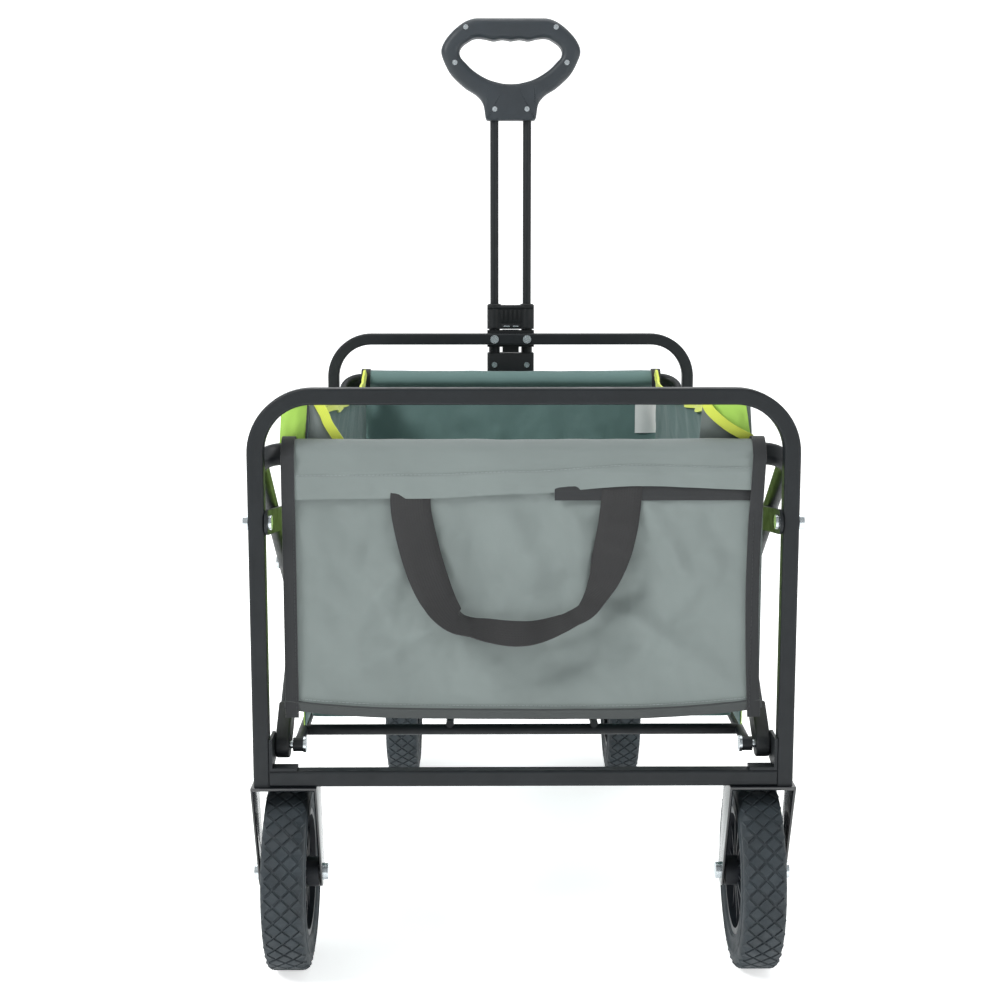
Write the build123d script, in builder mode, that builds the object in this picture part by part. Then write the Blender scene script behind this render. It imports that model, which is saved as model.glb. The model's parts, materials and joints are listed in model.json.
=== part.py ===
"""Folding camp wagon: two hoop frames joined by a two-cell scissor on each side,
a folding floor, a fabric body, four wheels and a telescoping pull handle.

Millimetres. +X is to the right seen from the rear, +Y points to the handle end,
+Z is up. The origin is on the ground at the middle of the wagon.
"""

from build123d import *
from math import atan2, cos, degrees, hypot, radians, sin
import os

os.makedirs("parts", exist_ok=True)

# ---- driving dimensions: the whole wagon --------------------------------------
HOOP_WIDTH = 530.0  # outside of one upright to the outside of the other
HOOP_SPACING = 880.0  # rear hoop plane to front hoop plane
HOOP_TOP = 598.0  # height of the top bar's upper face
FRAME_BOTTOM = 206.0  # height of the crossbars' lower face
WHEEL_RADIUS = 98.0

# ---- hoop frames ---------------------------------------------------------------
TUBE = 16.0  # square tube of the hoops and crossbars
TUBE_WALL = 1.5
TUBE_ROUND = 2.5
HOOP_BEND = 55.0  # centreline radius of the hoop's top corners
FIT = 0.05  # radial running clearance of every pin
GAP = 0.3  # clearance between parts that pass each other
SHEET = 3.0  # thickness of the bracket and link plates

# ---- scissor sides -------------------------------------------------------------
PIVOT_INSET = 24.0  # bottom pivots stand this far inboard of the hoop planes
PIVOT_HEIGHT = 240.0
SCISSOR_RISE = 291.5  # bottom pivots to top pivots, wagon open
LEG_WIDE = 23.0  # flat-oval leg tube, seen from the side
LEG_THIN = 12.0
LEG_WALL = 1.5
LEG_BEND = 25.0  # centreline radius of the cross tube's corners
LEG_RECESS = 1.5  # the outer legs stand this far inside the hoop's outer side
BRACKET_GAP = 0.5  # between a pivot bracket and the fitting on the inner leg's end
OUTER_LEG_X = HOOP_WIDTH / 2 - LEG_RECESS - LEG_THIN / 2
LEG_END = 12.0  # leg past its end pivot
PIN_RADIUS = 4.0
PIN_HEAD_RADIUS = 8.0
PIN_HEAD = 3.0
END_FITTING_LENGTH = 45.0
END_FITTING_RADIUS = 13.0
END_FITTING_EXTRA = 1.0  # the fitting is this much proud of the leg on each side
INNER_LEG_X = HOOP_WIDTH / 2 - TUBE - SHEET - BRACKET_GAP - END_FITTING_EXTRA - LEG_THIN / 2
LAYER_GAP = OUTER_LEG_X - INNER_LEG_X - LEG_THIN  # between the inner and the outer leg layer

# ---- stay links ----------------------------------------------------------------
STAY_HEIGHT = 468.0  # height of the bolt through the upright
STAY_REACH = 141.0  # along the cross-tube leg, from its top pivot to the far rivet
STAY_WIDE = 24.0
BOLT_HEAD_RADIUS = 7.5
BOLT_HEAD = 5.0

# ---- floor ---------------------------------------------------------------------
STRUT = 10.0  # round tube of the folding floor frames
STRUT_X = 223.5
FLOOR_BAR = 8.0  # long inner bars
FLOOR_BAR_X = 73.5
FLOOR_BAR_STEP = 14.0  # the front half's inner bars pass beside the rear half's
FLOOR_CROSS = 11.0  # crossbar tube diameter
FLOOR_CROSS_INSET = 52.0  # first crossbar, inboard of the bottom pivots
FLOOR_REACH = 345.0  # side struts, from their pivots
MAT_THICK = 8.0
MAT_HALF_WIDTH = 213.0
MAT_END = 18.0  # mat edge inboard of the bottom pivots

# ---- wheels --------------------------------------------------------------------
TYRE_WIDTH = 44.0
TYRE_BORE = 64.0  # radius where the tyre sits on the rim
TYRE_SHOULDER = 8.0
HUB_RADIUS = 15.0
AXLE_RADIUS = 6.0
REAR_WHEEL_INSET = 29.5  # wheel middle, inboard of the hoop's outer side
REAR_WHEEL_X = HOOP_WIDTH / 2 - REAR_WHEEL_INSET
REAR_AXLE_INSET = 50.0
CASTER_X = 150.0
CASTER_INSET = 110.0  # swivel axes, inboard of the front hoop plane
CASTER_TRAIL = 65.0
FORK_SHEET = 3.0
REAR_FORK_HALF = 32.5
CASTER_FORK_HALF = 31.0
FORK_PLATE = 4.0
FORK_BOSS = 15.0

# ---- pull handle ---------------------------------------------------------------
ROD_SPACING = 47.0
ROD_RADIUS = 6.0
ROD_WALL = 1.5
HANDLE_TUBE_RADIUS = 8.0
HANDLE_PIVOT_HEIGHT = 214.0
HANDLE_LEAN = 10.0  # pivot stands this far in front of the handle tubes
LOCK_BOTTOM = 604.0
LOCK_HEIGHT = 34.0
LOCK_WIDTH = 68.0
ROD_BOTTOM = 494.0
CLAMP_BOTTOM = 535.0
CLAMP_HEIGHT = 34.0
GRIP_TOP = 1043.0
GRIP_WIDTH = 198.0
GRIP_HEIGHT = 140.0
GRIP_DEPTH = 32.0
GRIP_BAR = 27.0
NECK_WIDTH = 70.0
HAND_HOLE_WIDTH = 148.0
HAND_HOLE_HEIGHT = 62.0

# ---- fabric --------------------------------------------------------------------
HEM_CLEAR = 0.3  # between the cross tube and its hem, whichever way it turns
HEM_WALL = 1.5
PANEL_THICK = 2.8
PANEL_BOTTOM = 275.0
WALL_THICK = 3.0
WALL_X = 216.0
STRAP_WIDE = 38.0
STRAP_THICK = 2.0
STRAP_HALF_SPAN = 102.0
STRAP_TOP = 497.0
STRAP_LOW = 383.0  # centreline of the strap's lowest run

# ---- derived places ------------------------------------------------------------
HALF = HOOP_SPACING / 2
UPRIGHT_X = HOOP_WIDTH / 2 - TUBE / 2
UPRIGHT_INNER = HOOP_WIDTH / 2 - TUBE
BAR_TOP = FRAME_BOTTOM + TUBE
PIVOT_Y = HALF - PIVOT_INSET
PIVOT_TOP = PIVOT_HEIGHT + SCISSOR_RISE
LEG = hypot(PIVOT_Y, SCISSOR_RISE)
LEG_ANGLE = degrees(atan2(SCISSOR_RISE, PIVOT_Y))
AXLE_Y = HALF - REAR_AXLE_INSET
SWIVEL_Y = HALF - CASTER_INSET
CASTER_AXLE_Y = SWIVEL_Y - CASTER_TRAIL
CLIP_BASE = 4.0
HANDLE_Y = HALF + TUBE / 2 + CLIP_BASE + HANDLE_TUBE_RADIUS + GAP
HANDLE_PIVOT_Y = HANDLE_Y + HANDLE_LEAN
HEM_RADIUS = LEG_WIDE / 2 + HEM_CLEAR


def write(builder, name):
    """Label a finished piece and write its file."""
    builder.part.label = name
    export_step(builder.part, f"parts/{name}.step")


def across(x, y, z):
    """A plane at a point whose normal runs along +X."""
    return Plane(origin=(x, y, z), x_dir=(0, 1, 0), z_dir=(1, 0, 0))


# ---- hoop frames ---------------------------------------------------------------
def make_hoop(name, end):
    """Inverted U of square tube; end is -1 at the rear and +1 at the front."""
    y = end * HALF
    with BuildPart() as hoop:
        with BuildLine(Plane.XZ.offset(-y)) as path:
            FilletPolyline(
                (-UPRIGHT_X, FRAME_BOTTOM),
                (-UPRIGHT_X, HOOP_TOP - TUBE / 2),
                (UPRIGHT_X, HOOP_TOP - TUBE / 2),
                (UPRIGHT_X, FRAME_BOTTOM),
                radius=HOOP_BEND,
            )
        with BuildSketch(Plane.XY.offset(FRAME_BOTTOM)):
            with Locations((-UPRIGHT_X, y)):
                RectangleRounded(TUBE, TUBE, TUBE_ROUND)
                RectangleRounded(
                    TUBE - 2 * TUBE_WALL,
                    TUBE - 2 * TUBE_WALL,
                    TUBE_ROUND - TUBE_WALL,
                    mode=Mode.SUBTRACT,
                )
        sweep(path=path.line)
        with BuildSketch(across(-HOOP_WIDTH / 2 - 1, y, STAY_HEIGHT)):
            Circle(PIN_RADIUS + FIT)
        extrude(amount=HOOP_WIDTH + 2, mode=Mode.SUBTRACT)
        if end > 0:
            with BuildSketch(Plane.XZ.offset(-(HALF + TUBE))):
                with Locations((0, HOOP_TOP - TUBE / 2)):
                    with GridLocations(ROD_SPACING, 1, 2, 1):
                        Circle(PIN_RADIUS + FIT)
            extrude(amount=2 * TUBE, mode=Mode.SUBTRACT)
    write(hoop, name)


def make_crossbar(name, end):
    """Bottom bar between the uprights."""
    with BuildPart() as bar:
        with BuildSketch(across(-UPRIGHT_INNER, end * HALF, FRAME_BOTTOM + TUBE / 2)):
            RectangleRounded(TUBE, TUBE, TUBE_ROUND)
            RectangleRounded(
                TUBE - 2 * TUBE_WALL,
                TUBE - 2 * TUBE_WALL,
                TUBE_ROUND - TUBE_WALL,
                mode=Mode.SUBTRACT,
            )
        extrude(amount=2 * UPRIGHT_INNER)
    write(bar, name)


BRACKET_FOOT = 27.0
BRACKET_EAR = 14.0


def make_brackets(name, end):
    """Two L-shaped plates on the crossbar that carry the bottom pivot pins."""
    with BuildPart() as brackets:
        with BuildSketch(across(UPRIGHT_INNER - SHEET, end * HALF, 0)):
            with BuildLine():
                Polyline(
                    (end * TUBE / 2, BAR_TOP),
                    (end * TUBE / 2, PIVOT_HEIGHT + BRACKET_EAR),
                    (-end * PIVOT_INSET, PIVOT_HEIGHT + BRACKET_EAR),
                    (-end * (PIVOT_INSET + BRACKET_EAR), PIVOT_HEIGHT),
                    (-end * PIVOT_INSET, PIVOT_HEIGHT - BRACKET_EAR),
                    (-end * TUBE / 2, BAR_TOP),
                    close=True,
                )
            make_face()
            with Locations((-end * PIVOT_INSET, PIVOT_HEIGHT)):
                Circle(PIN_RADIUS + FIT, mode=Mode.SUBTRACT)
        extrude(amount=SHEET)
        with Locations((UPRIGHT_INNER - BRACKET_FOOT / 2, end * HALF, BAR_TOP + SHEET / 2)):
            Box(BRACKET_FOOT, TUBE, SHEET)
        mirror(about=Plane.YZ)
    write(brackets, name)


def rod_across(y, z, steps):
    """Join round steps along X to the part being built; each step is (start, length, radius)."""
    for x, length, radius in steps:
        with BuildSketch(across(x, y, z)) as disc:
            Circle(radius)
        extrude(disc.sketch, amount=length)


def pivot_pin_solid(y, z, x_in, x_out):
    """A headed pin across X whose heads stand just outside the faces x_in and x_out."""
    rod_across(
        y,
        z,
        (
            (x_in - PIN_HEAD, x_out - x_in + 2 * PIN_HEAD, PIN_RADIUS),
            (x_in - PIN_HEAD, PIN_HEAD - GAP, PIN_HEAD_RADIUS),
            (x_out + GAP, PIN_HEAD - GAP, PIN_HEAD_RADIUS),
        ),
    )


def make_pivot_pins(name, end):
    """Bottom pivot pins, through the bracket, the riser's end and the floor strut."""
    with BuildPart() as pins:
        pivot_pin_solid(
            end * PIVOT_Y,
            PIVOT_HEIGHT,
            STRUT_X - STRUT / 2,
            (UPRIGHT_INNER if end < 0 else OUTER_LEG_X + LEG_THIN / 2 + END_FITTING_EXTRA),
        )
        mirror(about=Plane.YZ)
    write(pins, name)


def stay_bolt_solid(end):
    """A bolt through the upright that carries the stay link on its inner end."""
    inner = UPRIGHT_INNER - GAP - SHEET - GAP
    rod_across(
        end * HALF,
        STAY_HEIGHT,
        (
            (inner - PIN_HEAD, HOOP_WIDTH / 2 - inner + PIN_HEAD + BOLT_HEAD, PIN_RADIUS),
            (inner - PIN_HEAD, PIN_HEAD, PIN_HEAD_RADIUS - 1),
            (HOOP_WIDTH / 2, BOLT_HEAD, BOLT_HEAD_RADIUS),
        ),
    )


make_hoop("rear_hoop", -1)
make_hoop("front_hoop", 1)
make_crossbar("rear_crossbar", -1)
make_crossbar("front_crossbar", 1)
make_brackets("rear_brackets", -1)
make_brackets("front_brackets", 1)
make_pivot_pins("rear_pivot_pins", -1)
make_pivot_pins("front_pivot_pins", 1)

with BuildPart() as rear_stay_bolts:
    stay_bolt_solid(-1)
    mirror(about=Plane.YZ)
write(rear_stay_bolts, "rear_stay_bolts")

CLIP_BOLT_HEAD_RADIUS = 6.0
CLIP_BOLT_HEAD = 2.0
with BuildPart() as front_bolts:
    stay_bolt_solid(1)
    mirror(about=Plane.YZ)
    head_face = Plane.XZ.offset(-(HALF - TUBE / 2 - CLIP_BOLT_HEAD))
    for radius, length in (
        (PIN_RADIUS, CLIP_BOLT_HEAD + TUBE + CLIP_BASE - 1),
        (CLIP_BOLT_HEAD_RADIUS, CLIP_BOLT_HEAD),
    ):
        with BuildSketch(head_face):
            with Locations((0, HOOP_TOP - TUBE / 2)):
                with GridLocations(ROD_SPACING, 1, 2, 1):
                    Circle(radius)
        extrude(amount=-length)
write(front_bolts, "front_bolts")


# ---- wheels and forks ----------------------------------------------------------
def make_tyre(name, x, y):
    """Rubber tread ring with rounded shoulders."""
    with BuildPart() as tyre:
        with BuildSketch(Plane(origin=(x, y, WHEEL_RADIUS), x_dir=(1, 0, 0), z_dir=(0, -1, 0))):
            with Locations((0, (WHEEL_RADIUS + TYRE_BORE) / 2)):
                Rectangle(TYRE_WIDTH, WHEEL_RADIUS - TYRE_BORE)
            fillet(vertices().group_by(Axis.Y)[-1], TYRE_SHOULDER)
        revolve(axis=Axis((x, y, WHEEL_RADIUS), (1, 0, 0)))
    write(tyre, name)


RIM_BAND = 6.0
RIM_LIP = 3.0
RIM_WEB = 8.0


def make_rim(name, x, y, hub_half):
    """Dished plastic wheel centre: hub, web and the band the tyre sits on."""
    band = TYRE_WIDTH / 2 - RIM_LIP
    with BuildPart() as rim:
        with BuildSketch(Plane(origin=(x, y, WHEEL_RADIUS), x_dir=(1, 0, 0), z_dir=(0, -1, 0))):
            for half, low, high in (
                (band, TYRE_BORE - RIM_BAND, TYRE_BORE),
                (RIM_WEB / 2, AXLE_RADIUS + FIT, TYRE_BORE - RIM_BAND + 1),
                (hub_half, AXLE_RADIUS + FIT, HUB_RADIUS),
            ):
                with Locations((0, (low + high) / 2)):
                    Rectangle(2 * half, high - low)
        revolve(axis=Axis((x, y, WHEEL_RADIUS), (1, 0, 0)))
    write(rim, name)


def axle_solid(x, y, half):
    """An axle across X with a nut at each end, outside a fork of the given half width."""
    rod_across(
        y,
        WHEEL_RADIUS,
        (
            (x - half - BOLT_HEAD, 2 * (half + BOLT_HEAD), AXLE_RADIUS),
            (x - half - BOLT_HEAD, BOLT_HEAD, BOLT_HEAD_RADIUS + 1),
            (x + half, BOLT_HEAD, BOLT_HEAD_RADIUS + 1),
        ),
    )


REAR_PLATE_OUT = 12.0  # rear fork plate past the hoop plane
REAR_PLATE_IN = 34.0
REAR_PLATE_TOP = FRAME_BOTTOM


def make_rear_fork(name, x):
    """Pressed fork: a top plate under the frame and two raked, tapering legs."""
    low = REAR_PLATE_TOP - FORK_PLATE
    with BuildPart() as fork:
        with BuildSketch(across(x - REAR_FORK_HALF, 0, 0)):
            with BuildLine():
                Polyline(
                    (-HALF - REAR_PLATE_OUT, REAR_PLATE_TOP),
                    (-HALF + REAR_PLATE_IN, REAR_PLATE_TOP),
                    (-AXLE_Y + FORK_BOSS, WHEEL_RADIUS),
                    (-AXLE_Y - FORK_BOSS, WHEEL_RADIUS),
                    close=True,
                )
            make_face()
            with Locations((-AXLE_Y, WHEEL_RADIUS)):
                Circle(FORK_BOSS)
                Circle(AXLE_RADIUS + FIT, mode=Mode.SUBTRACT)
        extrude(amount=2 * REAR_FORK_HALF)
        with Locations((x, -AXLE_Y, (low + WHEEL_RADIUS) / 2 - 30)):
            Box(2 * (REAR_FORK_HALF - FORK_SHEET), 400, low - WHEEL_RADIUS + 60, mode=Mode.SUBTRACT)
    write(fork, name)


with BuildPart() as rear_axles:
    axle_solid(REAR_WHEEL_X, -AXLE_Y, REAR_FORK_HALF)
    mirror(about=Plane.YZ)
write(rear_axles, "rear_axles")

CROWN_TOP = 196.5
CROWN_FRONT = 24.0
CROWN_REAR = 23.0


def make_caster_fork(name, x):
    """Caster fork: a crown on the kingpin and two legs raked back to the axle."""
    low = CROWN_TOP - FORK_PLATE
    with BuildPart() as fork:
        with BuildSketch(across(x - CASTER_FORK_HALF, 0, 0)):
            with BuildLine():
                Polyline(
                    (SWIVEL_Y - CROWN_REAR, CROWN_TOP),
                    (SWIVEL_Y + CROWN_FRONT, CROWN_TOP),
                    (CASTER_AXLE_Y + FORK_BOSS, WHEEL_RADIUS),
                    (CASTER_AXLE_Y - FORK_BOSS, WHEEL_RADIUS),
                    close=True,
                )
            make_face()
            with Locations((CASTER_AXLE_Y, WHEEL_RADIUS)):
                Circle(FORK_BOSS)
                Circle(AXLE_RADIUS + FIT, mode=Mode.SUBTRACT)
        extrude(amount=2 * CASTER_FORK_HALF)
        with Locations((x, SWIVEL_Y, (low + WHEEL_RADIUS) / 2 - 30)):
            Box(2 * (CASTER_FORK_HALF - FORK_SHEET), 400, low - WHEEL_RADIUS + 60, mode=Mode.SUBTRACT)
        with BuildSketch(Plane.XY.offset(low - 1)):
            with Locations((x, SWIVEL_Y)):
                Circle(PIN_RADIUS + 1 + FIT)
        extrude(amount=FORK_PLATE + 2, mode=Mode.SUBTRACT)
    write(fork, name)


KING_RADIUS = PIN_RADIUS + 1
KING_LOW = CROWN_TOP - 2 * FORK_PLATE - GAP
RACE_RADIUS = 20.0
MOUNT_WIDE = 50.0
MOUNT_REAR = 25.0  # caster mount past the swivel axis
with BuildPart() as caster_mounts:
    length = HALF - TUBE / 2 - (SWIVEL_Y - MOUNT_REAR)
    with Locations((CASTER_X, HALF - TUBE / 2 - length / 2, FRAME_BOTTOM + TUBE / 2)):
        Box(MOUNT_WIDE, length, TUBE)
    with Locations((CASTER_X, HALF - TUBE / 2 - length / 2, FRAME_BOTTOM + TUBE / 2 + FORK_PLATE)):
        Box(MOUNT_WIDE - 2 * FORK_SHEET, length + 2, TUBE, mode=Mode.SUBTRACT)
    with BuildSketch(Plane.XY.offset(FRAME_BOTTOM - 1)):
        with Locations((CASTER_X, SWIVEL_Y)):
            Circle(KING_RADIUS + FIT)
    extrude(amount=FORK_PLATE + 2, mode=Mode.SUBTRACT)
    mirror(about=Plane.YZ)
write(caster_mounts, "caster_mounts")

with BuildPart() as kingpins:
    for low, height, radius in (
        (KING_LOW, FRAME_BOTTOM + 2 * FORK_PLATE - KING_LOW, KING_RADIUS),
        (KING_LOW, FORK_PLATE, BOLT_HEAD_RADIUS),
        (CROWN_TOP + GAP, FRAME_BOTTOM - CROWN_TOP - GAP, RACE_RADIUS),
        (FRAME_BOTTOM + FORK_PLATE, FORK_PLATE, BOLT_HEAD_RADIUS),
    ):
        with BuildSketch(Plane.XY.offset(low)):
            with Locations((CASTER_X, SWIVEL_Y)):
                Circle(radius)
        extrude(amount=height)
    mirror(about=Plane.YZ)
write(kingpins, "kingpins")

for side, suffix in ((-1, "left"), (1, "right")):
    make_rear_fork(f"rear_fork_{suffix}", side * REAR_WHEEL_X)
    make_tyre(f"rear_tyre_{suffix}", side * REAR_WHEEL_X, -AXLE_Y)
    make_rim(f"rear_rim_{suffix}", side * REAR_WHEEL_X, -AXLE_Y, REAR_FORK_HALF - FORK_SHEET - 1)
    make_caster_fork(f"caster_fork_{suffix}", side * CASTER_X)
    make_tyre(f"front_tyre_{suffix}", side * CASTER_X, CASTER_AXLE_Y)
    make_rim(f"front_rim_{suffix}", side * CASTER_X, CASTER_AXLE_Y, CASTER_FORK_HALF - FORK_SHEET - 1)
    with BuildPart() as caster_axle:
        axle_solid(side * CASTER_X, CASTER_AXLE_Y, CASTER_FORK_HALF)
    write(caster_axle, f"caster_axle_{suffix}")


# ---- scissor sides -------------------------------------------------------------
def leg_plane(x, y, z, slope):
    """A plane across X at a leg's lower pivot, its local x running up the leg."""
    turn = radians(slope)
    return Plane(origin=(x, y, z), x_dir=(0, cos(turn), sin(turn)), z_dir=(1, 0, 0))


def make_risers(name, end, layer_x):
    """Flat-oval legs from a bottom pivot up to the middle of the side."""
    slope = LEG_ANGLE if end < 0 else 180 - LEG_ANGLE
    place = leg_plane(layer_x, end * PIVOT_Y, PIVOT_HEIGHT, slope)
    start, stop = END_FITTING_LENGTH, LEG + LEG_END
    with BuildPart() as risers:
        section = Plane(
            origin=place.from_local_coords((start, 0, 0)), x_dir=(1, 0, 0), z_dir=place.x_dir
        )
        with BuildSketch(section):
            SlotOverall(LEG_WIDE, LEG_THIN, rotation=90)
            SlotOverall(
                LEG_WIDE - 2 * LEG_WALL, LEG_THIN - 2 * LEG_WALL, rotation=90, mode=Mode.SUBTRACT
            )
        extrude(amount=stop - start)
        with BuildSketch(place.offset(-LEG_THIN)):
            with Locations((LEG / 2, 0), (LEG, 0)):
                Circle(PIN_RADIUS + FIT)
        extrude(amount=2 * LEG_THIN, mode=Mode.SUBTRACT)
        mirror(about=Plane.YZ)
    write(risers, name)


def make_riser_ends(name, end, layer_x):
    """Moulded fittings on the legs' lower ends, turning on the bottom pivots."""
    slope = LEG_ANGLE if end < 0 else 180 - LEG_ANGLE
    half = LEG_THIN / 2 + END_FITTING_EXTRA
    with BuildPart() as ends:
        with BuildSketch(leg_plane(layer_x - half, end * PIVOT_Y, PIVOT_HEIGHT, slope)):
            Circle(END_FITTING_RADIUS)
            with Locations((END_FITTING_LENGTH / 2, 0)):
                Rectangle(END_FITTING_LENGTH, 2 * END_FITTING_RADIUS)
            Circle(PIN_RADIUS + FIT, mode=Mode.SUBTRACT)
        extrude(amount=2 * half)
        mirror(about=Plane.YZ)
    write(ends, name)


def make_cross_tube(name, end, layer_x):
    """U-shaped flat-oval tube: a top bar inside the panel's hem and two long legs."""
    turn = radians(LEG_ANGLE)
    plane = Plane(
        origin=(0, end * PIVOT_Y, PIVOT_TOP),
        x_dir=(1, 0, 0),
        z_dir=(0, -end * sin(turn), cos(turn)),
    )
    along = -end  # the plane's own y axis points along +Y; the legs run inboard
    with BuildPart() as tube:
        with BuildLine(plane) as path:
            FilletPolyline(
                (-layer_x, along * (LEG + LEG_END)),
                (-layer_x, 0),
                (layer_x, 0),
                (layer_x, along * (LEG + LEG_END)),
                radius=LEG_BEND,
            )
        with BuildSketch(Plane(origin=path.line @ 0, x_dir=plane.z_dir, z_dir=path.line % 0)):
            SlotOverall(LEG_WIDE, LEG_THIN)
            SlotOverall(LEG_WIDE - 2 * LEG_WALL, LEG_THIN - 2 * LEG_WALL, mode=Mode.SUBTRACT)
        sweep(path=path.line)
        middle = (end * PIVOT_Y / 2, PIVOT_HEIGHT + SCISSOR_RISE / 2)
        for y, z in (middle, (0, PIVOT_HEIGHT)):
            with BuildSketch(across(-HOOP_WIDTH, y, z)):
                Circle(PIN_RADIUS + FIT)
            extrude(amount=2 * HOOP_WIDTH, mode=Mode.SUBTRACT)
    write(tube, name)


def leg_pin_solid(y, z):
    """A pin through both leg layers, with a spacer collar between them."""
    x_in = INNER_LEG_X - LEG_THIN / 2
    x_out = OUTER_LEG_X + LEG_THIN / 2
    pivot_pin_solid(y, z, x_in, x_out)
    rod_across(y, z, ((x_in + LEG_THIN + GAP, LAYER_GAP - 2 * GAP, PIN_HEAD_RADIUS),))


def make_leg_pins(name, points):
    with BuildPart() as pins:
        for y, z in points:
            leg_pin_solid(y, z)
        mirror(about=Plane.YZ)
    write(pins, name)


make_risers("rear_risers", -1, INNER_LEG_X)
make_risers("front_risers", 1, OUTER_LEG_X)
make_riser_ends("rear_riser_ends", -1, INNER_LEG_X)
make_riser_ends("front_riser_ends", 1, OUTER_LEG_X)
make_cross_tube("rear_cross_tube", -1, OUTER_LEG_X)
make_cross_tube("front_cross_tube", 1, INNER_LEG_X)
CROSSING_Z = PIVOT_HEIGHT + SCISSOR_RISE / 2
make_leg_pins("rear_riser_pins", ((-PIVOT_Y / 2, CROSSING_Z), (0, PIVOT_TOP)))
make_leg_pins("front_riser_pins", ((PIVOT_Y / 2, CROSSING_Z),))
make_leg_pins("centre_pins", ((0, PIVOT_HEIGHT),))


def make_stay_links(name, end):
    """Flat links from the upright's bolt to the leg of the cross tube."""
    turn = radians(LEG_ANGLE)
    far_y = -end * (STAY_REACH * cos(turn) + PIVOT_INSET)
    far_z = PIVOT_TOP - STAY_REACH * sin(turn) - STAY_HEIGHT
    length = hypot(far_y, far_z)
    slope = degrees(atan2(far_z, far_y))
    with BuildPart() as links:
        with BuildSketch(leg_plane(UPRIGHT_INNER - GAP - SHEET, end * HALF, STAY_HEIGHT, slope)):
            with Locations((length / 2, 0)):
                SlotCenterToCenter(length, STAY_WIDE)
            Circle(PIN_RADIUS + FIT, mode=Mode.SUBTRACT)
        extrude(amount=SHEET)
        mirror(about=Plane.YZ)
    write(links, name)


make_stay_links("rear_stay_links", -1)
make_stay_links("front_stay_links", 1)


# ---- floor ---------------------------------------------------------------------
STRUT_Z = PIVOT_HEIGHT
CROSS_Z = STRUT_Z
BAR_Z = CROSS_Z + FLOOR_CROSS / 2 + FLOOR_BAR / 2 - 1


def tube_along_y(x, z, start, stop, diameter):
    """Join a round bar along Y to the part being built."""
    with BuildSketch(Plane.XZ.offset(-start)) as disc:
        with Locations((x, z)):
            Circle(diameter / 2)
    extrude(disc.sketch, amount=start - stop)


def make_floor_frame(name, end, bar_x):
    """Half of the folding floor: side struts on the bottom pivots, crossbars and inner bars."""
    pivot = end * PIVOT_Y
    inboard = -end
    with BuildPart() as frame:
        for side in (-1, 1):
            tube_along_y(side * STRUT_X, STRUT_Z, pivot, pivot + inboard * FLOOR_REACH, STRUT)
            with BuildSketch(across(side * STRUT_X - STRUT / 2, pivot, STRUT_Z)):
                Circle(STRUT / 2 + 2)
            extrude(amount=STRUT)
            first = pivot + inboard * (FLOOR_CROSS_INSET - FLOOR_CROSS)
            tube_along_y(side * bar_x, BAR_Z, first, 0, FLOOR_BAR)
        for reach in (FLOOR_CROSS_INSET, FLOOR_REACH - FLOOR_CROSS):
            with BuildSketch(across(-STRUT_X, pivot + inboard * reach, CROSS_Z)):
                Circle(FLOOR_CROSS / 2)
            extrude(amount=2 * STRUT_X)
        with BuildSketch(across(-HOOP_WIDTH, pivot, STRUT_Z)):
            Circle(PIN_RADIUS + FIT)
        extrude(amount=2 * HOOP_WIDTH, mode=Mode.SUBTRACT)
    write(frame, name)


MAT_BOTTOM = BAR_Z + FLOOR_BAR / 2 + GAP
MAT_SPLIT = PIVOT_Y - FLOOR_REACH + 3.0  # half length of the mat's soft middle


def make_mat(name, y_from, y_to):
    with BuildPart() as mat:
        with Locations((0, (y_from + y_to) / 2, MAT_BOTTOM + MAT_THICK / 2)):
            Box(2 * MAT_HALF_WIDTH, abs(y_to - y_from), MAT_THICK)
    write(mat, name)


make_floor_frame("rear_floor_frame", -1, FLOOR_BAR_X)
make_floor_frame("front_floor_frame", 1, FLOOR_BAR_X + FLOOR_BAR_STEP)
make_mat("rear_mat", -(PIVOT_Y - MAT_END), -MAT_SPLIT - GAP)
make_mat("front_mat", PIVOT_Y - MAT_END, MAT_SPLIT + GAP)
make_mat("mat_middle", -MAT_SPLIT, MAT_SPLIT)


# ---- fabric --------------------------------------------------------------------
def make_panel(name, end, half_width):
    """End panel: a hem round the cross tube and a flat sheet hanging from it."""
    outside = HEM_RADIUS + HEM_WALL
    drop = PIVOT_TOP - PANEL_BOTTOM
    with BuildPart() as panel:
        with BuildSketch(across(-half_width, end * PIVOT_Y, PIVOT_TOP)):
            Circle(outside)
            with Locations((end * (outside - PANEL_THICK / 2), -drop / 2)):
                Rectangle(PANEL_THICK, drop)
            Circle(HEM_RADIUS, mode=Mode.SUBTRACT)
        extrude(amount=2 * half_width)
    write(panel, name)


make_panel("rear_panel", -1, OUTER_LEG_X - LEG_BEND - GAP)
make_panel("front_panel", 1, INNER_LEG_X - LEG_BEND - GAP)

WALL_END = PIVOT_Y - HEM_RADIUS - HEM_WALL - GAP
WALL_BOTTOM = MAT_BOTTOM + MAT_THICK
WALL_TOP = PIVOT_TOP + HEM_RADIUS + HEM_WALL
with BuildPart() as side_walls:
    with Locations((WALL_X, 0, (WALL_BOTTOM + WALL_TOP) / 2)):
        Box(WALL_THICK, 2 * WALL_END, WALL_TOP - WALL_BOTTOM)
    mirror(about=Plane.YZ)
write(side_walls, "side_walls")

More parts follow.
